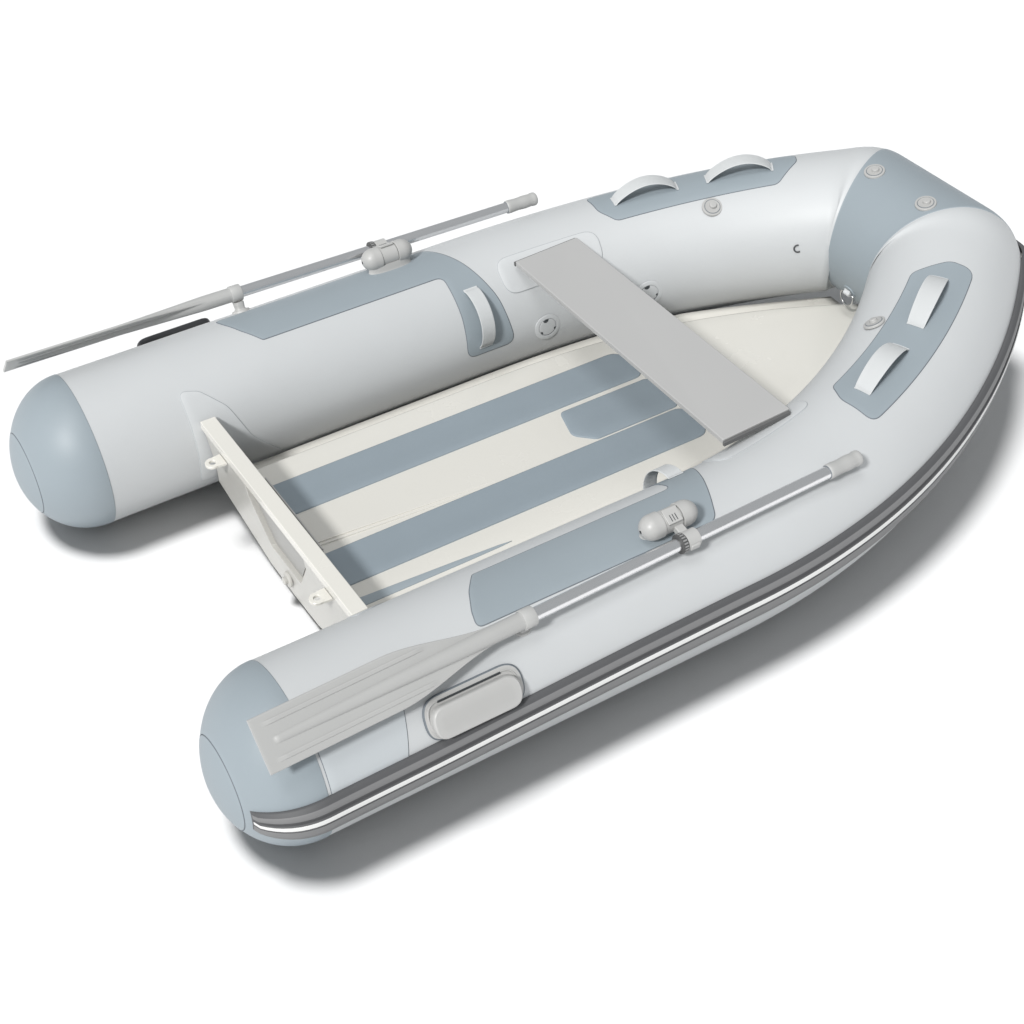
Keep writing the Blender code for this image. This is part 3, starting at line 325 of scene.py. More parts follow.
def surface(rows, wrap=False):
    """Points, quads and row numbers of a grid of rows."""
    width = len(rows[0])
    points = [p for row in rows for p in row]
    faces, bands = [], []
    for i in range(len(rows) - 1):
        for j in range(width if wrap else width - 1):
            k = (j + 1) % width
            a, b = i * width, (i + 1) * width
            faces.append((a + j, a + k, b + k, b + j))
            bands.append((i, j))
    return points, faces, bands


@contextmanager
def edited(piece):
    """The piece's mesh opened for editing, and written back at the end."""
    body = bmesh.new()
    body.from_mesh(piece.data)
    yield body
    body.to_mesh(piece.data)
    body.free()


def fix_normals(piece):
    """Turns the faces the same way, pointing out."""
    with edited(piece) as body:
        bmesh.ops.recalc_face_normals(body, faces=body.faces)
    return piece


def solid_rows(name, rows, materials, sharp=40, uv=None):
    """A closed solid lofted through closed rows, with flat caps."""
    points, faces, _ = surface(rows, wrap=True)
    width = len(rows[0])
    faces.append(tuple(reversed(range(width))))
    faces.append(tuple(range((len(rows) - 1) * width, len(rows) * width)))
    return fix_normals(make_piece(name, points, faces, materials, uvs=uv, sharp=sharp))


def lathe(name, profile, materials, matrix, sides=64, marks=None, sharp=35):
    """A body turned about local Z from (radius, z) pairs; a radius of 0 closes an end."""
    points, faces, kinds, uvs = [], [], [], []
    rings = []
    for radius, z in profile:
        if radius < 1e-6:
            rings.append([len(points)])
            points.append(matrix @ Vector((0, 0, z)))
            uvs.append((0, z))
            continue
        rings.append(list(range(len(points), len(points) + sides)))
        for turn in turns(sides):
            points.append(matrix @ Vector((radius * math.cos(turn), radius * math.sin(turn), z)))
            uvs.append((radius * turn, z))
    for number, (a, b) in enumerate(zip(rings, rings[1:])):
        for i in range(sides):
            k = (i + 1) % sides
            corners = (a[i % len(a)], a[k % len(a)], b[k % len(b)], b[i % len(b)])
            face = tuple(dict.fromkeys(corners))
            if len(face) > 2:
                faces.append(face)
                kinds.append(marks[number] if marks else 0)
    piece = make_piece(name, points, faces, materials, kinds, uvs, sharp=sharp)
    return fix_normals(piece)


def arc(centre, radius, start, end, steps):
    """Points on an arc of a profile, angles in degrees."""
    angles = [math.radians(start + (end - start) * i / steps) for i in range(steps + 1)]
    return [(centre[0] + radius * math.cos(t), centre[1] + radius * math.sin(t)) for t in angles]


def about_z(angle):
    return Matrix.Rotation(math.radians(angle), 4, "Z")


def shift(x, y, z):
    return Matrix.Translation((x, y, z))


def rect(x0, y0, x1, y1):
    return [(x0, y0), (x1, y0), (x1, y1), (x0, y1)]


def mirror_x(points):
    """The other half of an outline or section that is symmetric about x = 0."""
    return [(-x, y) for x, y in reversed(points)]


def mirror_y(points):
    return [(x, -y) for x, y in reversed(points)]


def blunt(value, power):
    """A sine or cosine raised to a power with its sign kept, for squarish ovals."""
    return math.copysign(abs(value) ** power, value)


def beveled(piece, width, segments):
    modifier = piece.modifiers.new("edges", "BEVEL")
    modifier.width = width
    modifier.segments = segments
    modifier.limit_method = "ANGLE"
    modifier.angle_limit = math.radians(35)
    modifier.harden_normals = False
    return piece


def block(name, corners, depth, materials, matrix, bevel=0.0015, segments=2):
    """A plate: an outline in local X and Y, from z = 0 to depth, with bevelled edges."""
    low = [matrix @ Vector((x, y, 0)) for x, y in corners]
    high = [matrix @ Vector((x, y, depth)) for x, y in corners]
    count = len(corners)
    faces = [(i, (i + 1) % count, count + (i + 1) % count, count + i) for i in range(count)]
    faces += [tuple(reversed(range(count))), tuple(range(count, 2 * count))]
    uvs = [tuple(c) for c in corners] * 2
    piece = make_piece(name, low + high, faces, materials, uvs=uvs, sharp=40)
    fix_normals(piece)
    return beveled(piece, bevel, segments) if bevel else piece


def rounded_outline(corners, step=0.012, arc_steps=7):
    """An outline through (u, v, radius) corners with rounded corners, and its long runs divided."""
    count, outline = len(corners), []
    for i in range(count):
        here = Vector(corners[i][:2])
        before = Vector(corners[i - 1][:2]) - here
        after = Vector(corners[(i + 1) % count][:2]) - here
        angle = before.angle(after)
        reach = corners[i][2] / math.tan(angle / 2) if angle < math.pi - 0.01 else 0.0
        reach = min(reach, before.length * 0.48, after.length * 0.48)
        if reach < 1e-5:
            outline.append(here)
            continue
        start, end = here + before.normalized() * reach, here + after.normalized() * reach
        for k in range(arc_steps + 1):
            t = k / arc_steps
            outline.append(start * (1 - t) ** 2 + here * 2 * t * (1 - t) + end * t * t)
    divided = []
    for a, b in zip(outline, outline[1:] + outline[:1]):
        parts = max(1, int((b - a).length / step))
        divided += [a.lerp(b, k / parts) for k in range(parts)]
    return divided


def inset_outline(outline, width):
    count, inner = len(outline), []
    area = sum(outline[i - 1].x * outline[i].y - outline[i].x * outline[i - 1].y for i in range(count))
    sign = 1 if area > 0 else -1
    for i in range(count):
        along = (outline[(i + 1) % count] - outline[i - 1]).normalized()
        inner.append(outline[i] + sign * width * Vector((-along.y, along.x)))
    return inner


def inside(point, outline):
    hit = False
    for a, b in zip(outline, outline[1:] + outline[:1]):
        if (a.y > point.y) != (b.y > point.y):
            if point.x < (b.x - a.x) * (point.y - a.y) / (b.y - a.y) + a.x:
                hit = not hit
    return hit


def grid_spots(outline, core, step):
    """Points of a square grid over the outline, those that lie inside the core."""
    us, vs = [p.x for p in outline], [p.y for p in outline]
    spots = []
    for i in range(int((max(us) - min(us)) / step) + 1):
        for j in range(int((max(vs) - min(vs)) / step) + 1):
            spot = Vector((min(us) + (i + 0.5) * step, min(vs) + (j + 0.5) * step))
            if inside(spot, core):
                spots.append(spot)
    return spots


def conform(name, outline, place, thickness, materials, edge=0.0022, step=0.014):
    """A sheet bonded to a surface. place(u, v, lift) maps it; the edge band takes the second material."""
    inner = inset_outline(outline, edge)
    count = len(outline)
    spots = grid_spots(outline, inset_outline(outline, edge + 0.4 * step), step)
    flat, _, faces, _, _, _ = delaunay_2d_cdt(inner + spots, [], [list(range(count))], 1, 1e-7)
    points = [place(p.x, p.y, -0.0006) for p in outline]
    points += [place(p.x, p.y, thickness * 0.75) for p in outline]
    points += [place(p.x, p.y, thickness) for p in flat]
    uvs = [tuple(p) for p in outline] * 2 + [tuple(p) for p in flat]
    top = [tuple(2 * count + i for i in face) for face in faces]
    rim = []
    for i in range(count):
        k = (i + 1) % count
        rim.append((i, k, count + k, count + i))
        rim.append((count + i, count + k, 2 * count + k, 2 * count + i))
    piece = make_piece(name, points, top + rim, materials, [0] * len(top) + [1] * len(rim), uvs)
    return fix_out(piece, place, outline)


def fix_out(piece, place, outline):
    """Faces of a bonded sheet point away from the surface under it."""
    middle = sum(outline, Vector((0, 0))) / len(outline)
    up = place(middle.x, middle.y, 0.01) - place(middle.x, middle.y, 0.0)
    target = place(middle.x, middle.y, 0.002)
    with edited(piece) as body:
        bmesh.ops.recalc_face_normals(body, faces=body.faces)
        body.faces.ensure_lookup_table()
        nearest = min(body.faces, key=lambda f: (f.calc_center_median() - target).length)
        if nearest.normal.dot(up) < 0:
            bmesh.ops.reverse_faces(body, faces=body.faces)
    return piece


# ---- the tubes' run ----
def side_run():
    turned = np.linspace(0, BEND_ARC, 801)
    heading = BOW_HEADING * (turned / BEND_ARC) ** BEND_POWER
    middle = (heading[1:] + heading[:-1]) / 2
    step = turned[1] - turned[0]
    x = TUBE_X - np.concatenate([[0], np.cumsum(np.sin(middle) * step)])
    y = BEND_START + np.concatenate([[0], np.cumsum(np.cos(middle) * step)])
    rise = BOW_RISE * ((y - BEND_START) / (y[-1] - BEND_START)) ** 2
    return BEND_START + turned, x, y, rise, heading


RUN = side_run()
MITRE_S, MITRE_X, MITRE_Y = float(RUN[0][-1]), float(RUN[1][-1]), float(RUN[2][-1])


def axis_at(s):
    if s <= BEND_START:
        return TUBE_X, s, 0.0, 0.0
    if s <= MITRE_S:
        return tuple(float(np.interp(s, RUN[0], column)) for column in RUN[1:])
    return MITRE_X - (s - MITRE_S), MITRE_Y, BOW_RISE, math.pi / 2


def skin(s, angle, lift, side=1):
    """A point on a side tube: s along it, angle round it from 0 outboard by 90 on top to 180 inboard."""
    x, y, z, heading = axis_at(s)
    radius = TUBE_R
    if s < 0:
        radius = TUBE_R * math.sqrt(max(0.0, 1 - (s / DOME_LENGTH) ** 2))
    reach = (radius + lift) * math.cos(math.radians(angle))
    up = (radius + lift) * math.sin(math.radians(angle))
    return world(side * (x + reach * math.cos(heading)), y + reach * math.sin(heading), z + up)


def arc_skin(s, v, lift, side):
    """As skin, with the way round the tube given as an arc in metres."""
    return skin(s, math.degrees(v / TUBE_R), lift, side)


def on_tube(side):
    return lambda u, v, lift: arc_skin(u, v, lift, side)


def round_arc(angle):
    return math.radians(angle) * TUBE_R


def surface_frame(s, angle, side):
    point = skin(s, angle, 0, side)
    along = (skin(s + 0.001, angle, 0, side) - point).normalized()
    normal = (skin(s, angle, 0.01, side) - point).normalized()
    return point, normal, along


def stand(point, normal, along):
    """A frame at a point: local Z along the normal, local X along the tube."""
    along = (along - normal * along.dot(normal)).normalized()
    return Matrix.Translation(point) @ Matrix((along, normal.cross(along), normal)).transposed().to_4x4()


def mitre_corner(angle, lift):
    """Where the side tube's line and the bow tube's line at one angle would meet, on the starboard side."""
    turn = (BOW_HEADING + math.pi / 2) / 2
    stretch = 1 / math.cos((math.pi / 2 - BOW_HEADING) / 2)
    reach = (TUBE_R + lift) * math.cos(math.radians(angle)) * stretch
    up = (TUBE_R + lift) * math.sin(math.radians(angle))
    return world(MITRE_X + reach * math.cos(turn), MITRE_Y + reach * math.sin(turn), BOW_RISE + up)


LAST_S = BEND_START + 0.93 * BEND_ARC  # the run is straight from here to the mitre


def mitre_round(angle):
    """How far back along the tubes the mitre is rounded: most outboard, least in the crease."""
    turn = math.radians(angle)
    return 0.003 + 0.062 * max(0.0, math.cos(turn)) + 0.008 * max(0.0, math.sin(turn))


def mitre_path(angle, lift, t):
    """A point on one line of the tube: t is 0 at LAST_S, 2 at the seam, and the rounding is from 1 to 3."""
    corner = mitre_corner(angle, lift)
    ahead = Vector((-math.sin(BOW_HEADING), math.cos(BOW_HEADING), 0))
    across = Vector((-1, 0, 0))
    reach = mitre_round(angle)
    before, after = corner - ahead * reach, corner + across * reach
    if t <= 1:
        start = skin(LAST_S, angle, lift)
        heading = axis_at(LAST_S)[3]
        slope = 2 * BOW_RISE / (MITRE_Y - BEND_START) * 0.9
        first = Vector((-math.sin(heading), math.cos(heading), slope * math.cos(heading))).normalized()
        length = (before - start).length
        a, b = start + first * length / 3, before - ahead * length / 3
        return start * (1 - t) ** 3 + a * 3 * t * (1 - t) ** 2 + b * 3 * t * t * (1 - t) + before * t ** 3
    u = (t - 1) / 2
    return before * (1 - u) ** 2 + corner * 2 * u * (1 - u) + after * u * u


def mirrored(point, side):
    return Vector((point.x * side, point.y, point.z))


# ---- tubes and cones ----
def make_tubes():
    angles = [360 * i / ROUND for i in range(ROUND + 1)]
    stations = [0.0] + [BEND_START * i / 24 for i in range(1, 25)]
    stations += [BEND_START + (LAST_S - BEND_START) * i / 44 for i in range(1, 45)]
    steps = [0.25, 0.5, 0.75, 1.0, 1.25, 1.5, 1.75, 2.0, 2.06]
    for side, tag in SIDES:
        rows = [[skin(s, a, 0, side) for a in angles] for s in stations]
        rows += [[mirrored(mitre_path(a, 0.0, t), side) for a in angles] for t in steps]
        points, faces, _ = surface(rows)
        alongs = stations + [LAST_S + 0.03 * (k + 1) for k in range(len(steps))]
        uvs = [(s, round_arc(a)) for s in alongs for a in angles]
        piece = make_piece("side_tube_" + tag, points, faces, [FABRIC], uvs=uvs)
        weld_seam(piece)
        finish_piece(fix_normals(piece), "boat", "tube_fabric", "tube_" + tag)

    half = [[mitre_path(a, PANEL_LIFT, t) for a in angles] for t in (1.985, 2.0, 2.25, 2.5, 2.75, 3.0)]
    mid = [[Vector((x, p.y, p.z)) for p in half[-1]] for x in (0.09, 0.045, 0.0)]
    half += [[Vector((min(m.x, h.x), m.y, m.z)) for m, h in zip(row, half[-1])] for row in mid]
    other = [[mirrored(p, -1) for p in row] for row in reversed(half[:-1])]
    half[0] = [mitre_path(a, -0.0002, 1.97) for a in angles]
    other[-1] = [mirrored(p, -1) for p in half[0]]
    points, faces, _ = surface(half + other)
    uvs = [(p.x, round_arc(a)) for row in half + other for p, a in zip(row, angles)]
    bow = make_piece("bow_tube_panel", points, faces, [PANEL], uvs=uvs)
    weld_seam(bow)
    finish_piece(fix_normals(bow), "boat", "panel_fabric", "tube_bow")


def weld_seam(piece):
    """Joins the first and last lines of a wrapped skin, whose UVs differ."""
    with edited(piece) as body:
        bmesh.ops.remove_doubles(body, verts=body.verts, dist=0.00002)


def make_cones():
    """Rounded stern cones, each with a round cap panel over its end."""
    wide, deep, cap = TUBE_R + PANEL_LIFT, DOME_LENGTH + PANEL_LIFT, 0.1075
    seam = deep * math.sin(math.acos(cap / wide))
    quarter = [math.radians(90 * i / 40) for i in range(41)]
    shape = [(wide * math.cos(t), deep * math.sin(t)) for t in quarter]
    profile = [(TUBE_R - 0.0004, -0.006), (TUBE_R + PANEL_LIFT * 0.8, -0.0055), (wide, -0.004)]
    marks = [1, 1, 0]
    for number, (radius, z) in enumerate(shape):
        if radius < cap < shape[number - 1][0]:
            profile += [(cap + 0.0008, seam), (cap - 0.0002, seam - 0.0009), (cap - 0.0014, seam + 0.0016)]
            marks += [0, 1, 1]
        raised = 0.0010 if radius < cap else 0.0
        profile.append((max(0.0, radius), z + raised))
        marks.append(0)
    profile[-1] = (0.0, profile[-1][1])
    for side, tag in SIDES:
        matrix = Matrix.Translation(world(side * TUBE_X, 0, 0)) @ Matrix.Rotation(math.pi / 2, 4, "X")
        cone = lathe("stern_cone_panel_" + tag, profile, [PANEL, EDGE], matrix, 112, marks[1:], sharp=60)
        for vertex in cone.data.vertices:
            back = max(0.0, STERN_Y - vertex.co.y) / DOME_LENGTH
            vertex.co.z -= CONE_DROP * back ** 1.5
        finish_piece(cone, "boat", "panel_fabric", "stern_cone_" + tag)


# ---- panels bonded to the tubes ----
def bonded(name, corners, thickness, materials, side, slot, node, edge):
    """A panel on a side tube. corners are (s, angle, corner radius)."""
    outline = rounded_outline([(s, round_arc(a), r) for s, a, r in corners])
    piece = conform(name, outline, on_tube(side), thickness, materials, edge)
    finish_piece(piece, "boat", slot, node)


def make_panels():
    wear = [(0.428, 68, 0.045), (0.438, 80, 0.10), (0.463, 95, 0.10), (0.502, 110.5, 0.012),
            (1.034, 110.5, 0.022), (1.036, 146, 0.3), (1.030, 181, 0.030), (1.194, 181, 0.030),
            (1.164, 141, 0.3), (1.112, 104, 0.3), (1.055, 68, 0.035)]
    bow = [(1.543, 67, 0.030), (1.548, 96, 0.06), (1.588, 111, 0.030), (2.066, 111, 0.030), (2.124, 86, 0.05),
           (2.122, 67, 0.040)]
    badge = [(0.012, 12.6, 0.004), (0.012, 45.5, 0.012), (0.212, 45.5, 0.012), (0.190, 15, 0.012),
             (0.190, 12.6, 0.004)]
    rest = [(1.192, 112, 0.045), (1.192, 143, 0.045), (1.518, 143, 0.045), (1.518, 112, 0.045)]
    flap = [(0.238, 126, 0.02), (0.290, 131, 0.04), (0.345, 148, 0.08), (0.387, 176, 0.10),
            (0.434, 191, 0.10), (0.478, 207, 0.010), (0.238, 207, 0.020)]
    dark, pale = [PANEL, EDGE], [FABRIC, PALE_EDGE]
    kinds = [("wear_panel_", wear, 0.0013, dark, "panel_fabric", "wear_patch_", 0.0022),
             ("bow_panel_", bow, 0.0013, dark, "panel_fabric", "bow_patch_", 0.0022),
             ("badge_panel_", badge, 0.0010, [BADGE, EDGE], "badge_panel", "blank_panel_", 0.0014),
             ("seat_rest_", rest, 0.0022, pale, "tube_fabric", "seat_pad_", 0.0018),
             ("transom_tape_", flap, 0.0016, pale, "tube_fabric", "transom_flap_", 0.0018)]
    for side, tag in SIDES:
        for name, corners, thickness, looks, slot, node, edge in kinds:
            bonded(name + tag, corners, thickness, looks, side, slot, node + tag, edge)


# ---- rub strake ----
STRAKE = [(-12.3, 0.0004, 3), (-12.2, 0.004, 1), (-11.4, 0.0085, 1), (-10.2, 0.0105, 1), (-9.8, 0.0125, 0),
          (-5.5, 0.0150, 0), (-1.0, 0.0165, 0), (-0.4, 0.0140, 1), (0.3, 0.0140, 1), (0.9, 0.0178, 4),
          (2.6, 0.0186, 4), (4.3, 0.0178, 4), (4.9, 0.0135, 1), (6.3, 0.0135, 1), (7.6, 0.0150, 1),
          (8.3, 0.0168, 2), (10.6, 0.0168, 2), (12.4, 0.0150, 2), (12.8, 0.0125, 1), (14.6, 0.0095, 1),
          (15.2, 0.0060, 1), (15.4, 0.0004, 1)]  # angle, lift off the tube, and material
STRAKE_LOOKS = [RUBBER, RUBBER_DARK, RUBBER, RUBBER_PALE, STRIPE]


def strake_lift(s):
    """Degrees by which the strake runs above its line at the stern: it has more sheer than the tube."""
    return float(np.interp(s, [-0.14, 0.05, 0.25, 0.45, 0.75, 1.05, 1.35, 1.70, 2.10, 2.40],
                           [-2.4, -1.2, -0.6, 1.0, 3.2, 4.4, 4.4, 3.0, 1.6, 1.0]))


def make_strake():
    """One extruded strake right round the boat, with a pale stripe between two grooves."""
    bend = math.pi / 2 - BOW_HEADING
    stretch = 1 / math.cos(bend / 2)

    def ring(place):
        return [place(a, h) for a, h, _ in STRAKE]

    def bent(t):
        heading = BOW_HEADING + bend * t
        grow = 1 + (stretch - 1) * (1 - abs(2 * t - 1) ** 1.6)

        def place(a, h):
            reach = (TUBE_R + h) * math.cos(math.radians(a + STRAKE_BOW)) * grow - 0.004
            up = (TUBE_R + h) * math.sin(math.radians(a + STRAKE_BOW))
            x, y = MITRE_X + reach * math.cos(heading), MITRE_Y + reach * math.sin(heading)
            return world(x, y, BOW_RISE + up)
        return place

    def tapered(s):
        share = min(1.0, (s + STRAKE_TIP) / 0.006)
        drop = CONE_DROP * (max(0.0, -s) / DOME_LENGTH) ** 1.5
        return lambda a, h: skin(s, a + strake_lift(s), h * (0.55 + 0.45 * share)) - Vector((0, 0, drop))

    stations = [-STRAKE_TIP, -0.134, -0.130, -0.120, -0.108, -0.095]
    stations += [-0.08, -0.065, -0.05, -0.035, -0.02, -0.005, 0.01, 0.03]
    half = [ring(tapered(s)) for s in stations]
    straight = [0.1 + (BEND_START - 0.1) * i / 16 for i in range(17)]
    curved = [BEND_START + BEND_ARC * 0.955 * i / 40 for i in range(1, 41)]
    half += [ring(lambda a, h, s=s: skin(s, a + strake_lift(s), h)) for s in straight + curved]
    half += [ring(bent(0.02 + 0.96 * i / 12)) for i in range(13)]
    half += [ring(lambda a, h, s=s: skin(MITRE_S + MITRE_X * s, a + STRAKE_BOW, h))
             for s in (0.35, 0.7, 1.0)]
    rows = half + [[mirrored(p, -1) for p in row] for row in reversed(half[:-1])]
    points, faces, bands = surface(rows)
    marks = [STRAKE[j + 1][2] for _, j in bands]
    width = len(STRAKE)
    ends = [tuple(range(width)), tuple((len(rows) - 1) * width + i for i in reversed(range(width)))]
    piece = make_piece("rub_strake_rubber", points, faces + ends, STRAKE_LOOKS, marks + [1, 1], sharp=50)
    finish_piece(fix_normals(piece), "boat", "strake_rubber", "rub_strake")


# ---- webbing handles ----
def make_strap(name, node, length, height, width, place):
    """A woven strap in an arch with sewn feet; place(along, across, up) gives a point."""
    steps, foot, thick = 48, 0.006, 0.0022
    line = [(-length / 2, 0.0)]
    for i in range(steps + 1):
        part = i / steps
        along = -length / 2 + foot + (length - 2 * foot) * part
        line.append((along, height * math.sin(math.pi * part) ** 0.72))
    line.append((length / 2, 0.0))
    section = [(-1.0, 0.25), (-0.97, 0.0), (-0.5, 0.0), (0.0, 0.0), (0.5, 0.0), (0.97, 0.0), (1.0, 0.25),
               (1.0, 0.75), (0.97, 1.0), (0.86, 0.96), (0.5, 1.0), (0.0, 1.03), (-0.5, 1.0), (-0.86, 0.96),
               (-0.97, 1.0), (-1.0, 0.75)]
    rows, uvs = [], []
    for number, (along, up) in enumerate(line):
        before, after = line[max(0, number - 1)], line[min(len(line) - 1, number + 1)]
        slope = Vector((after[0] - before[0], after[1] - before[1])).normalized()
        row = []
        for across, high in section:
            lift = 0.0008 + up + thick * high * slope.x
            row.append(place(along - thick * high * slope.y, across * width / 2, lift))
            uvs.append((across * width / 2, along))
        rows.append(row)
    strap = solid_rows(name, rows, [WEBBING], sharp=70, uv=uvs)
    finish_piece(strap, "boat", "webbing", node)


def make_handles():
    base = 0.0014
    turn = math.degrees(1 / TUBE_R)
    for side, tag in SIDES:
        for where, s in (("aft", 1.694), ("fore", 1.962)):
            def along_tube(y, x, z, s=s, side=side):
                return skin(s + y, 89 + turn * x, base + z, side)
            end = "%s_%s" % (tag, where)
            make_strap("bow_strap_" + end, "bow_handle_" + end, 0.188, 0.040, 0.044, along_tube)

        def round_tube(y, x, z, side=side):
            return skin(1.091 + x, 151 + turn * y, base + z, side)
        make_strap("side_strap_" + tag, "side_handle_" + tag, 0.168, 0.034, 0.044, round_tube)


# ---- line guides, valves, bow ring ----
def make_guide(name, node, matrix):
    """A low disc with a raised rim and a hooded button off its centre."""
    profile = [(0.0, 0.0052), (0.0195, 0.0048), (0.0205, 0.0050), (0.0212, 0.0044), (0.0225, 0.0042)]
    profile += arc((0.0262, 0.0026), 0.0022, 100, 0, 6) + [(0.0290, -0.0008)]
    disc = lathe(name, profile, [PLASTIC, EDGE], matrix, 56, [0, 0, 1, 1] + [0] * 8, sharp=50)
    knob = [(0.0, 0.0128), (0.0055, 0.0126)] + arc((0.0072, 0.0100), 0.0026, 90, 0, 6)
    knob += [(0.0106, 0.0062), (0.0112, 0.0040)]
    shifted = matrix @ shift(0.002, 0.002, 0)
    button = lathe(name + "_button", knob, [PLASTIC], shifted, 40, sharp=50)
    moulded(disc, node)
    moulded(button)


def make_guides():
    for side, tag in SIDES:
        matrix = stand(*surface_frame(1.869, 120, side))
        make_guide("guide_" + tag, "line_guide_" + tag, matrix)
        turn = math.radians(104)
        normal = Vector((0, math.cos(turn), math.sin(turn)))
        point = world(side * 0.101, MITRE_Y, BOW_RISE) + normal * (TUBE_R + 0.0008)
        make_guide("guide_bow_" + tag, "line_guide_bow_" + tag, stand(point, normal, Vector((1, 0, 0))))


def make_valves():
    """Each valve: a flush flange, and a round cap with three notches in its rim."""
    for tag, s, angle in (("aft", 1.305, 178), ("fore", 1.652, 177)):
        matrix = stand(*surface_frame(s, angle, -1))
        flange = [(0.0392, -0.0008), (0.0388, 0.0006), (0.0370, 0.0012), (0.0272, 0.0016), (0.0266, 0.0010),
                  (0.0262, -0.0030), (0.0, -0.0030)]
        # The flange's inner wall and floor, seen in the gap round the cap, take the near-black painted shade.
        looks = [FABRIC, PALE_EDGE, PAINTED_HOLLOW_SHADE]
        ring = lathe("valve_flange_" + tag, flange, looks, matrix, 72, [0, 0, 0, 1, 2, 2], sharp=40)
        moulded(ring, "valve_body_" + tag)
        cap = [(0.0240, -0.0020), (0.0250, 0.0004)] + arc((0.0240, 0.0004), 0.0010, 0, 90, 4)
        cap += [(0.0180, 0.0018), (0.0, 0.0022)]
        lid = lathe("valve_lid_" + tag, cap, [FABRIC], matrix)
        moulded(lid, "valve_cap_" + tag, body="valve_cap_" + tag)
        # Each notch is a thin near-black sheet on the cap's rim: painted shade in the notch.
        notches = ((100, 0.0085, 0.0085), (215, 0.0045, 0.0040), (335, 0.0040, 0.0040))
        for number, (turn, wide, deep) in enumerate(notches):
            outline = [(-deep, 0.0), (-deep * 0.7, -wide * 0.7), (0.0, -wide), (0.0018, 0.0), (0.0, wide),
                       (-deep * 0.7, wide * 0.7)]
            place = matrix @ about_z(turn) @ shift(0.0240, 0, 0.0012)
            notch = block("valve_notch_%s_%d" % (tag, number), outline, 0.0009, [PAINTED_HOLLOW_SHADE], place, 0.0)
            moulded(notch, body="valve_cap_" + tag)


def refinish(node, look):
    """A CAD piece carried over, with its own finish and its points welded."""
    piece = NODES[node]
    piece.data.materials.clear()
    piece.data.materials.append(look)
    modifier = piece.modifiers.new("weld", "WELD")
    modifier.merge_threshold = 0.00005
    return piece


def make_bow_ring():
    turn = math.radians(207)
    normal = Vector((0, math.cos(turn), math.sin(turn)))
    point = world(0, MITRE_Y, BOW_RISE) + normal * TUBE_R
    matrix = stand(point, normal, Vector((1, 0, 0)))
    rounded = arc((0.0195, 0.0020), 0.0016, 30, 90, 4)
    profile = [(0.022, 0.0), (0.0218, 0.0025)] + rounded + [(0.0, 0.0038)]
    plate = lathe("bow_ring_plate", profile, [PANEL], matrix, 48)
    moulded(plate, "bow_ring_base")
    strap = []
    for i in range(13):
        t = math.pi * i / 12
        strap.append((0.0068 * math.cos(t), 0.0090 + 0.0068 * math.sin(t)))
    strap += [(-0.012, 0.005), (0.012, 0.005)]
    rows = [[matrix @ Vector((x, y, z)) for y, z in strap] for x in (-0.011, 0.011)]
    loop = solid_rows("bow_ring_strap", rows, [WEBBING], sharp=50)
    finish_piece(loop, "boat", "webbing")
    divide = refinish("bow_ring", STEEL).modifiers.new("round", "SUBSURF")
    divide.levels = 2
    divide.render_levels = 2


def make_small_hook():
    """A small open hook, seen inboard on the port bow."""
    matrix = stand(*surface_frame(2.128, 166.8, -1))
    rows = []
    for k in range(15):
        turn = math.radians(70 + 230 * k / 14)
        out = Vector((math.cos(turn), math.sin(turn), 0))
        row = []
        for u in turns(10):
            centre = out * (0.0100 + 0.0022 * math.cos(u))
            row.append(matrix @ (centre + Vector((0, 0, 0.0015 + 0.0022 * math.sin(u)))))
        rows.append(row)
    hook = solid_rows("bow_hook_port", rows, [SHADED], sharp=60)
    moulded(hook)


# ---- grab handles ----
def oblong(u0, v0, u1, v1, radius, step=0.008, arc_steps=12):
    corners = [(u0, v0, radius), (u0, v1, radius), (u1, v1, radius), (u1, v0, radius)]
    return rounded_outline(corners, step, arc_steps)


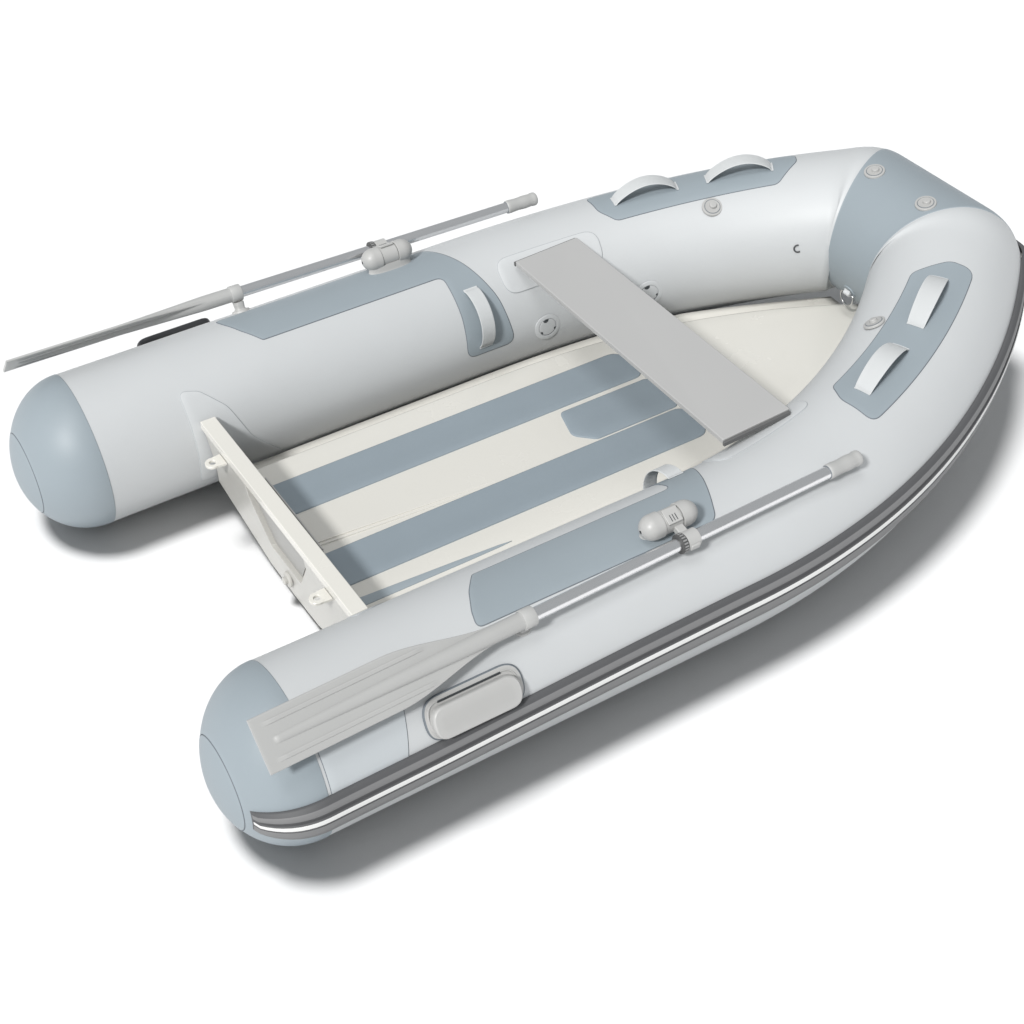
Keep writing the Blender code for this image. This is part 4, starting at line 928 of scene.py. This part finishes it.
def make_grab_handles():
    """Moulded oblong base with a raised rim, and a broad grip plate standing off it over a finger gap."""
    for side, tag in SIDES:
        place = on_tube(side)
        low, high = round_arc(14.8), round_arc(43)
        base = oblong(0.239, low, 0.476, high, 0.046)
        # The port handle takes the dark plastic: painted shade on a handle of the same pale plastic as the
        # starboard one.
        look = PLASTIC if side > 0 else SHADED
        plate = conform("grab_base_" + tag, base, place, 0.0050, [look, EDGE], 0.0035, 0.010)
        moulded(plate, "grab_handle_" + tag)
        rim = oblong(0.247, low + 0.010, 0.465, high - 0.010, 0.036)
        steps = ((0.0, 0.0045), (0.0012, 0.0078), (0.0030, 0.0080), (0.005, 0.0045))
        rows = [[place(p.x, p.y, lift) for p in inset_outline(rim, inset)] for inset, lift in steps]
        points, faces, _ = surface(rows, wrap=True)
        ring = make_piece("grab_rim_" + tag, points, faces, [look], sharp=50)
        moulded(fix_normals(ring))
        grip = oblong(0.250, low + 0.010, 0.460, round_arc(37.0), 0.034)
        levels = [(0.0, 0.0052), (0.0005, 0.0200), (0.0010, 0.0235), (0.0022, 0.0262), (0.0045, 0.0278)]
        count = len(grip)
        core = inset_outline(grip, 0.0045)
        middle = inset_outline(grip, 0.009)
        spots = grid_spots(middle, middle, 0.010)
        flat, _, tris, _, _, _ = delaunay_2d_cdt(core + spots, [], [list(range(count))], 1, 1e-7)
        points, faces = [], []
        for inset, lift in levels[:-1]:
            points += [place(p.x, p.y, lift) for p in inset_outline(grip, inset)]
        points += [place(p.x, p.y, levels[-1][1]) for p in flat]
        for k in range(len(levels) - 1):
            for i in range(count):
                j = (i + 1) % count
                faces.append((k * count + i, k * count + j, (k + 1) * count + j, (k + 1) * count + i))
        faces += [tuple((len(levels) - 1) * count + i for i in tri) for tri in tris]
        pad = make_piece("grab_grip_" + tag, points, faces, [look], sharp=60)
        moulded(fix_out(pad, place, grip))
        # The finger gap is a thin near-black sheet under the grip: painted shade in the gap.
        gap = oblong(0.279, round_arc(38.2), 0.431, round_arc(39.8), 0.002, 0.02, 4)
        slit = conform("grab_gap_" + tag, gap, place, 0.0084, [PAINTED_HOLLOW_SHADE, PAINTED_HOLLOW_SHADE], 0.0008, 0.02)
        moulded(slit)


# ---- hull and deck ----
def tube_at(station):
    return station if station <= BEND_START else float(np.interp(station, RUN[2], RUN[0]))


def hull_half(station):
    """Outer points of half a hull section, from the tube to the keel, with two spray strakes."""
    x, _, z, heading = axis_at(tube_at(station))
    reach = TUBE_R + 0.007
    edge_z = min(z - reach * math.sin(math.radians(27)), DECK_Z - 0.032)
    edge_x = max(x - math.sqrt(reach ** 2 - (edge_z - z) ** 2) / math.cos(heading), 0.030)
    late = max(0.0, (station - 1.20) / 0.90)
    keel = -0.1975 + 0.125 * late ** 2.0
    flat = 0.130 * max(0.0, 1 - late) ** 0.8 + 0.010
    chine_z = min(keel + 0.0075 + 0.03 * late, edge_z - 0.002)
    low_x = min(flat, edge_x * 0.7)
    mid = (0.45 * low_x + 0.55 * edge_x, 0.5 * (chine_z + edge_z) - 0.008 * (1 - late))
    corners = [(0.0, keel), (low_x, chine_z), mid, (edge_x, edge_z)]
    points = [corners[0]]
    for (ax, az), (bx, bz) in zip(corners, corners[1:]):
        points += [(ax + (bx - ax) * k / 6, az + (bz - az) * k / 6) for k in range(1, 7)]
    return points


def make_hull():
    aft, fore = HULL_ENDS
    stations = [aft + (fore - aft) * i / 60 for i in range(61)]
    rows = []
    for station in stations:
        half = hull_half(station)
        rows.append([world(x, station, z) for x, z in mirror_x(half) + half[1:]])
    points, faces, _ = surface(rows)
    hull = make_piece("hull_moulding", points, faces, [GELCOAT], sharp=60)
    shell = hull.modifiers.new("shell", "SOLIDIFY")
    shell.thickness = 0.004
    shell.offset = 1
    fix_normals(hull)
    finish_piece(hull, "boat", "hull_gelcoat", "hull_shell")
    low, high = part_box("keel_guard")
    guard = block("keel_strip", rect(low.x, low.y, high.x, high.y), high.z - low.z, [RUBBER],
                  shift(0, 0, low.z), 0.005, 3)
    finish_piece(guard, "boat", "strake_rubber", "keel_guard")


def deck_half(station):
    """Half width of the deck, a smooth curve in towards the bow."""
    full, straight, tip = 0.297, 1.05, 2.112
    if station <= straight:
        return full
    t = (station - straight) / (tip - straight)
    return full - 0.262 * t ** 2.35 - 0.004 * t


def make_deck():
    """Moulded inner deck with a turned-down edge, and the raised ribs on it."""
    section = [(0.014, -0.060), (0.010, -0.030), (0.0070, -0.014), (0.0040, -0.0065), (-0.0010, -0.0018),
               (-0.0080, 0.0)]
    aft, fore = DECK_ENDS
    stations = [aft + (fore - aft) * i / 70 for i in range(71)]
    rows = []
    for station in stations:
        w = deck_half(station)
        half = [(w + dx, DECK_Z + dz) for dx, dz in section]
        half += [((w - 0.008) * (1 - k / 5), DECK_Z) for k in range(1, 6)]
        half += mirror_x(half[:-1])
        rows.append([world(x, station, z) for x, z in half])
    front = [Vector((p.x * 0.80, p.y + 0.006, p.z - 0.010)) for p in rows[-1]]
    points, faces, _ = surface(rows + [front])
    uvs = [(p.x, p.y) for row in rows + [front] for p in row]
    deck = make_piece("deck_moulding", points, faces, [GELCOAT], uvs=uvs, sharp=70)
    fix_normals(deck)
    finish_piece(deck, "boat", "hull_gelcoat", "deck")

    start, end = Vector((0.036, 0.335)), Vector((0.073, 0.83))
    across = Vector(((end - start).y, -(end - start).x)).normalized()
    for number, offset in enumerate((0.0, 0.012)):
        rows = []
        for k in range(21):
            t = k / 20
            centre = start.lerp(end, t) + across * offset
            tall, wide = 0.0042 * (1 - t) ** 0.7 + 0.0006, 0.0022 * (1 - 0.4 * t)
            row = []
            for d, h in ((-wide, 0.0), (-0.7 * wide, tall), (0.7 * wide, tall), (wide, 0.0)):
                spot = centre + across * d
                row.append(world(spot.x, spot.y, DECK_Z - 0.0004 + h))
            rows.append(row)
        rib = solid_rows("deck_rib_%d" % number, rows, [GELCOAT], sharp=60)
        finish_piece(rib, "boat", "hull_gelcoat")


def make_pads():
    """Non-slip pads: a thin body with a smooth chamfered rim."""
    long_pad = [(0.084, 0.330, 0.004), (0.084, 1.402, 0.030), (0.211, 1.402, 0.040), (0.211, 0.330, 0.004)]
    centre = [(-0.067, 1.118, 0.018), (0.030, 1.092, 0.030), (0.076, 1.140, 0.026), (0.076, 1.402, 0.02),
              (-0.067, 1.402, 0.02)]

    def flat(u, v, lift):
        return world(u, v, DECK_Z + lift)

    wedge = rounded_outline([(0.258, 0.336, 0.003), (0.288, 0.336, 0.006), (0.2885, 0.880, 0.010)], 0.03, 4)
    side_pad = conform("deck_side_wedge", wedge, flat, 0.0022, [PANEL, PANEL], 0.0015, 0.03)
    finish_piece(side_pad, "boat", "deck_pad")
    mirror = [(-x, y, r) for x, y, r in long_pad]
    for tag, corners in (("starboard", long_pad), ("port", mirror), ("centre", centre)):
        outline = rounded_outline(corners, 0.02, 8)
        pad = conform("deck_pad_rubber_" + tag, outline, flat, 0.0042, [PAD, PAD], 0.0035, 0.03)
        finish_piece(pad, "boat", "deck_pad", "deck_pad_" + tag)


# ---- transom ----
def carry(node, look, bevel):
    """Keeps a CAD piece's shape, with softened edges and its own finish."""
    piece = refinish(node, look)
    beveled(piece, bevel, 3)
    for polygon in piece.data.polygons:
        polygon.use_smooth = True
    smooth = piece.modifiers.new("split", "EDGE_SPLIT")
    smooth.split_angle = math.radians(35)


def make_transom():
    """The board in two layers, the outer one cut out round the motor recess, under a square rail."""
    top, under = 0.078, 0.080
    right = [(0.0, -0.193), (0.130, -0.186), (0.402, -0.104), (0.398, -0.090), (0.383, -0.030),
             (0.383, 0.030), (0.392, top)]
    mouth = [(0.156, under), (0.156, 0.032), (0.080, -0.080)]
    left = mirror_x(right[1:])
    outer = right + mouth + mirror_x(mouth) + left
    face = Matrix.Translation(world(0, TRANSOM_Y + TRANSOM_RAKE * 0.100, 0))
    face = face @ Matrix.Rotation(math.pi / 2 + math.atan(TRANSOM_RAKE), 4, "X")
    # Both layers are in the darker transom gelcoat: painted shade on the aft-facing board.
    layers = (("transom_panel", right + left, 0.036, 0.0135, ["transom_board"]),
              ("transom_frame", outer, 0.0140, 0.0, []))
    for name, outline, near, far, nodes in layers:
        layer = block(name, outline, near - far, [TRANSOM_PAINTED_SHADE], face @ shift(0, 0, -near), 0.0010)
        finish_piece(layer, "boat", "hull_gelcoat", *nodes)
    rail = block("transom_rail", rect(-0.406, 0.0, 0.406, 0.041), 0.024, [GELCOAT],
                 Matrix.Translation(world(0, TRANSOM_Y, 0.076)), 0.0020, 3)
    finish_piece(rail, "boat", "hull_gelcoat")
    # A thin plate in the motor recess, in a darker gelcoat: painted shade in the recess.
    inlay = [(-0.140, 0.074), (-0.140, 0.036), (-0.070, -0.072)]
    inlay += mirror_x(inlay)
    plate = block("transom_recess_painted_shade", inlay, 0.0030, [RECESS_PAINTED_SHADE],
                  face @ shift(0, 0, -0.0140), 0.0006)
    moulded(plate)
    carry("motor_plate", PLASTIC, 0.0012)
    _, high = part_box("motor_plate")
    lip = block("motor_plate_lip", rect(-0.152, 0.0, 0.152, 0.004), 0.030, [PLASTIC],
                shift(0, high.y + 0.0005, high.z - 0.024), 0.0010)
    moulded(lip)
    for _, tag in SIDES:
        low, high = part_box("transom_eye_" + tag)
        centre = Vector(((low.x + high.x) / 2, low.y + 0.019, (low.z + high.z) / 2))
        profile = [(0.0085, -0.0030), (0.0095, -0.0040), (0.0180, -0.0040), (0.0190, -0.0030)]
        profile += mirror_y(profile) + profile[:1]
        eye = lathe("transom_lug_" + tag, profile, [GELCOAT], Matrix.Translation(centre), 48)
        moulded(eye, "transom_eye_" + tag)
        reach = high.y - centre.y
        root = [(-0.0215, reach), (-0.0188, 0.006), (-0.0130, 0.0128)]
        root += mirror_x(root)
        neck = block("transom_lug_root_" + tag, root, 0.0078, [GELCOAT],
                     Matrix.Translation(centre - Vector((0, 0, 0.0039))), 0.0012)
        moulded(neck)
    low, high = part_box("drain_plug")
    centre = Vector((0, low.y + 0.016, (low.z + high.z) / 2))
    matrix = Matrix.Translation(centre) @ Matrix.Rotation(-math.pi / 2, 4, "X")
    profile = [(0.0, -0.0160), (0.0085, -0.0158), (0.0098, -0.0145), (0.0100, -0.0080), (0.0185, -0.0070),
               (0.0208, -0.0050), (0.0210, 0.0), (0.0125, 0.0), (0.0125, 0.0300), (0.0, 0.0300)]
    # The bung is in the darker transom gelcoat: painted shade, as on the board.
    plug = lathe("drain_bung", profile, [TRANSOM_PAINTED_SHADE], matrix, 48)
    moulded(plug, "drain_plug", body="drain_plug")


# ---- seat ----
def make_seat():
    """A flat board with rounded edges, tilted to follow the tubes, with an end strip at each end."""
    half, width, thick = 0.459, 0.200, 0.014
    matrix = Matrix.Translation(world(0, 1.330, 0.2062)) @ Matrix.Rotation(math.radians(2.5), 4, "X")
    corners = [(x, y, 0.004) for x, y in rect(-half, -width / 2, half, width / 2)]
    outline = [tuple(p) for p in rounded_outline(corners, 0.05, 4)]
    board = block("seat_plank", outline, thick, [SEAT], matrix @ shift(0, 0, -thick), 0.0016, 3)
    finish_piece(board, "seat", "seat_board", "seat")
    for side, tag in SIDES:
        strip = block("seat_end_" + tag, rect(-0.0035, -0.101, 0.0035, 0.099), 0.012, [SEAT_EDGE],
                      matrix @ shift(side * (half + 0.0038), 0, -0.0165), 0.001)
        finish_piece(strip, "seat", "seat_board")


# ---- oars and rowlocks ----
def shaft_frame(side):
    origin = world(side * OAR_AXIS[0], *OAR_AXIS[1:])
    forward = Vector((-side * OAR_TOE, 1, 0)).normalized()
    out = Vector((side, 0, 0))
    out = (out - forward * out.dot(forward)).normalized()
    return Matrix.Translation(origin) @ Matrix((out, forward.cross(out), forward)).transposed().to_4x4()


def blade_half(z):
    """Half width of the blade along the oar."""
    t = min(1.0, max(0.0, (-0.500 - z) / 0.26))
    return 0.019 + 0.039 * t * t * (3 - 2 * t)


def blade_height(flat, z):
    """Height of the blade's face over its middle plane: a flat edge, a spine, and a rib on each side."""
    half = blade_half(z)
    edge = 1 - max(0.0, abs(flat) / half - 0.93) / 0.07
    body = 0.0034 * math.sqrt(max(0.0, edge * (2 - edge)))
    along = (z + 1.022) / 0.50
    spine = 0.0
    if along > 0:
        radius = 0.0095 + 0.0100 * min(1.0, along)
        nose = min(1.0, along * 0.50 / 0.010)
        if abs(flat) < radius:
            spine = math.sqrt(radius ** 2 - flat ** 2) * (0.72 + 0.28 * min(1.0, along)) * math.sqrt(nose)
    ridge = 0.0
    if -1.030 < z < -0.665 - 0.03 * (half - 0.058):
        gap = abs(abs(flat) - 0.0375)
        ends = min(1.0, (z + 1.030) / 0.02, (-0.665 - z) / 0.02)
        if gap < 0.0050:
            ridge = 0.0024 * ends * min(1.0, (0.0050 - gap) / 0.0014)
    return max(body + ridge, spine)


def make_oar(side, tag):
    matrix = shaft_frame(side)
    body = "oar_" + tag
    profile = [(SHAFT_R, z) for z in (-0.440, -0.2, 0.0, 0.2, 0.4010)]
    shaft = lathe("oar_tube_" + tag, profile, [ALLOY], matrix)
    finish_piece(shaft, body, "oar_alloy", "oar_shaft_" + tag)
    grip = [(SHAFT_R, 0.3985), (0.0168, 0.3990), (0.0182, 0.4010), (0.0186, 0.4050)]
    grip += [(0.0180 + 0.0006 * math.cos(k * 0.9), 0.410 + 0.0068 * k) for k in range(11)]
    grip += [(0.0190, 0.4830)] + arc((0.0110, 0.4890), 0.0080, 0, 90, 7) + [(0.0, 0.4970)]
    hold = lathe("oar_handgrip_" + tag, grip, [BLADE, EDGE], matrix, 64, [1, 0] + [0] * 30)
    finish_piece(hold, body, "blade_plastic", "oar_grip_" + tag)

    bore = SHAFT_R + 0.0003
    collar = [(bore, -0.0320), (0.0222, -0.0320), (0.0232, -0.0312), (0.0232, -0.0188), (0.0222, -0.0180),
              (bore, -0.0180), (bore, -0.0320)]
    cuff = lathe("oar_cuff_" + tag, collar, [COLLAR], matrix)
    finish_piece(cuff, "collar_" + tag, "collar_rubber", "oar_collar_" + tag)
    ridge = [(0, -0.0018), (0.0007, -0.0012), (0.0007, 0.0012), (0, 0.0018)]
    for number in range(20):
        turn = matrix @ about_z(18 * number) @ shift(0.0230, 0, -0.030)
        tooth = block("oar_cuff_tooth_%s_%02d" % (tag, number), ridge, 0.010, [RUBBER_PALE], turn, 0.0)
        finish_piece(tooth, "collar_" + tag, "collar_rubber")

    band = [(SHAFT_R, -0.4140), (0.0205, -0.4140), (0.0220, -0.4150), (0.0225, -0.4165), (0.0225, -0.4430),
            (0.0218, -0.4445), (0.0196, -0.4450), (0.0192, -0.4450)]
    ring = lathe("oar_band_" + tag, band, [BLADE, EDGE], matrix, 64, [1, 0, 0, 0, 0, 0, 1])
    finish_piece(ring, body, "blade_plastic")

    lean = math.radians(45)
    out = Vector((math.cos(lean), side * math.sin(lean), 0))
    rise = Vector((math.sin(lean), -side * math.cos(lean), 0))
    columns = 150
    rows = []
    for i in range(columns + 1):
        z = BLADE_TOP - BLADE_LENGTH * i / columns
        half = blade_half(z)
        row = []
        for face in (1, -1):
            for k in range(columns):
                t = (1 - 2 * k / columns) * face
                flat = half * (0.85 * t + 0.15 * math.sin(t * math.pi / 2))
                row.append(matrix @ (out * flat + rise * face * blade_height(flat, z) + Vector((0, 0, z))))
        rows.append(row)
    blade = solid_rows("oar_paddle_" + tag, rows, [BLADE], sharp=60)
    finish_piece(blade, body, "blade_plastic", "oar_blade_" + tag)


def make_rowlock(side, tag):
    """A pod with two domed ends, a barrel between them, and on the barrel the ring that holds the oar."""
    centre = world(side * POD_AXIS[0], *POD_AXIS[1:])
    matrix = Matrix.Translation(centre) @ Matrix.Rotation(-math.pi / 2, 4, "X")
    for end, label in ((-1, "aft"), (1, "fore")):
        profile = [(0.0, 0.0243), (POD_R - 0.0008, 0.0243), (POD_R, 0.0250), (POD_R, 0.0427)]
        for k in range(1, 11):
            t = math.radians(8 * k)
            profile.append((POD_R * math.cos(t), 0.0427 + 0.0318 * math.sin(t)))
        # The aft dome ends in a small dimple lined with near-black painted shade.
        profile += [(0.0042, 0.0744), (0.0036, 0.0720), (0.0, 0.0715)] if end < 0 else [(0.0, 0.0745)]
        dome = lathe("rowlock_dome_%s_%s" % (tag, label), [(r, end * z) for r, z in profile],
                     [PLASTIC, PAINTED_HOLLOW_SHADE], matrix, 64, [0] * 14 + [1, 1] if end < 0 else None)
        moulded(dome, *(["rowlock_pod_" + tag] if end < 0 else []))
    rows = []
    for lift, grow in ((0.000, 0.003), (0.003, 0.0015), (0.008, 0.0), (0.020, -0.002)):
        row = []
        for turn in turns(64):
            u = POD_AXIS[1] + (0.062 + grow) * blunt(math.cos(turn), 0.7)
            row.append(arc_skin(u, round_arc(79) + (0.018 + grow) * math.sin(turn), lift, side))
        rows.append(row)
    post = solid_rows("rowlock_post_" + tag, rows, [PLASTIC], sharp=70)
    moulded(post)

    body = "rowlock_" + tag
    barrel = [(0.0, -0.0232), (0.0260, -0.0232), (0.0272, -0.0222)]
    barrel += mirror_y(barrel)
    drum = lathe("rowlock_barrel_" + tag, barrel, [PLASTIC], matrix)
    moulded(drum, "rowlock_ring_" + tag, body=body)

    # A raised plate with three slots faces up and outboard on the barrel.
    up = Vector((side * math.cos(math.radians(62)), 0, math.sin(math.radians(62))))
    plate = stand(centre + up * 0.0240, up, Vector((0, 1, 0)))
    cover = block("rowlock_plate_" + tag, rect(-0.0190, -0.0185, 0.0190, 0.0185), 0.0052,
                  [PLASTIC], plate, 0.0012)
    moulded(cover, body=body)
    # The slots are thin near-black strips: painted shade in each slot.
    for number in range(3):
        slot = plate @ shift(-0.0075 + 0.0070 * number, -side * 0.0060, 0.0050)
        line = block("rowlock_slot_%s_%d" % (tag, number), rect(-0.0009, -0.008, 0.0009, 0.008), 0.0006,
                     [PAINTED_HOLLOW_SHADE], slot, 0.0)
        moulded(line, body=body)

    oar = shaft_frame(side)
    way = oar.translation - centre
    outward = Vector((way.x, 0, way.z)).normalized()
    arm = stand(centre + outward * 0.018, outward, Vector((0, 1, 0)))
    bar = block("rowlock_arm_" + tag, rect(-0.0030, -0.0085, 0.0200, 0.0085), 0.034,
                [PLASTIC], arm, 0.0025)
    moulded(bar, body=body)
    ring = [(0.0154, -0.0165), (0.0208, -0.0165), (0.0216, -0.0157)]
    ring += mirror_y(ring)
    eye = lathe("rowlock_eye_" + tag, ring, [PLASTIC, EDGE], oar, 64, [1, 0, 0, 0, 1])
    moulded(eye, body=body)
    lug = stand(oar.translation + outward * 0.0190, outward, Vector((0, 1, 0)))
    clip = block("rowlock_clip_" + tag, rect(-0.012, -0.0075, 0.012, 0.0075), 0.0055,
                 [PLASTIC], lug, 0.0015)
    moulded(clip, body=body)


def make_oar_rest(side, tag):
    """A low round foot bonded to the tube, and a pedestal up to a short saddle under the oar's band."""
    base = stand(*surface_frame(0.518, 59, side))
    profile = [(0.0245, -0.0015), (0.0240, 0.0020), (0.0222, 0.0042), (0.0150, 0.0056), (0.0, 0.0060)]
    disc = lathe("oar_rest_disc_" + tag, profile, [PLASTIC], base, 56)
    moulded(disc, "oar_rest_" + tag)
    shaft = shaft_frame(side)
    top = shaft @ Vector((0, 0, -0.4290))
    foot = base @ Vector((0, 0, 0.0040))
    down = (foot - top).normalized()
    top += down * 0.0233
    along = (shaft.to_3x3() @ Vector((0, 0, 1))).normalized()
    across = along.cross(down).normalized()
    rows = []
    levels = ((0.0, 0.0190, 0.0130), (0.45, 0.0180, 0.0125), (0.75, 0.0165, 0.0120), (1.0, 0.0185, 0.0150))
    for part, wide, deep in levels:
        centre = top.lerp(foot, part)
        row = []
        for turn in turns(40):
            out, fore = wide * blunt(math.cos(turn), 0.6), deep * blunt(math.sin(turn), 0.6)
            row.append(centre + across * out + along * fore)
        rows.append(row)
    post = solid_rows("oar_rest_post_" + tag, rows, [PLASTIC], sharp=70)
    moulded(post)


# ---- build ----
make_camera()
floor = make_studio()
make_tubes()
make_cones()
make_panels()
make_strake()
make_handles()
make_guides()
make_valves()
make_bow_ring()
make_small_hook()
make_grab_handles()
make_hull()
make_deck()
make_pads()
make_transom()
make_seat()
for number, label in SIDES:
    make_oar(number, label)
    make_rowlock(number, label)
    make_oar_rest(number, label)

light_up(floor)
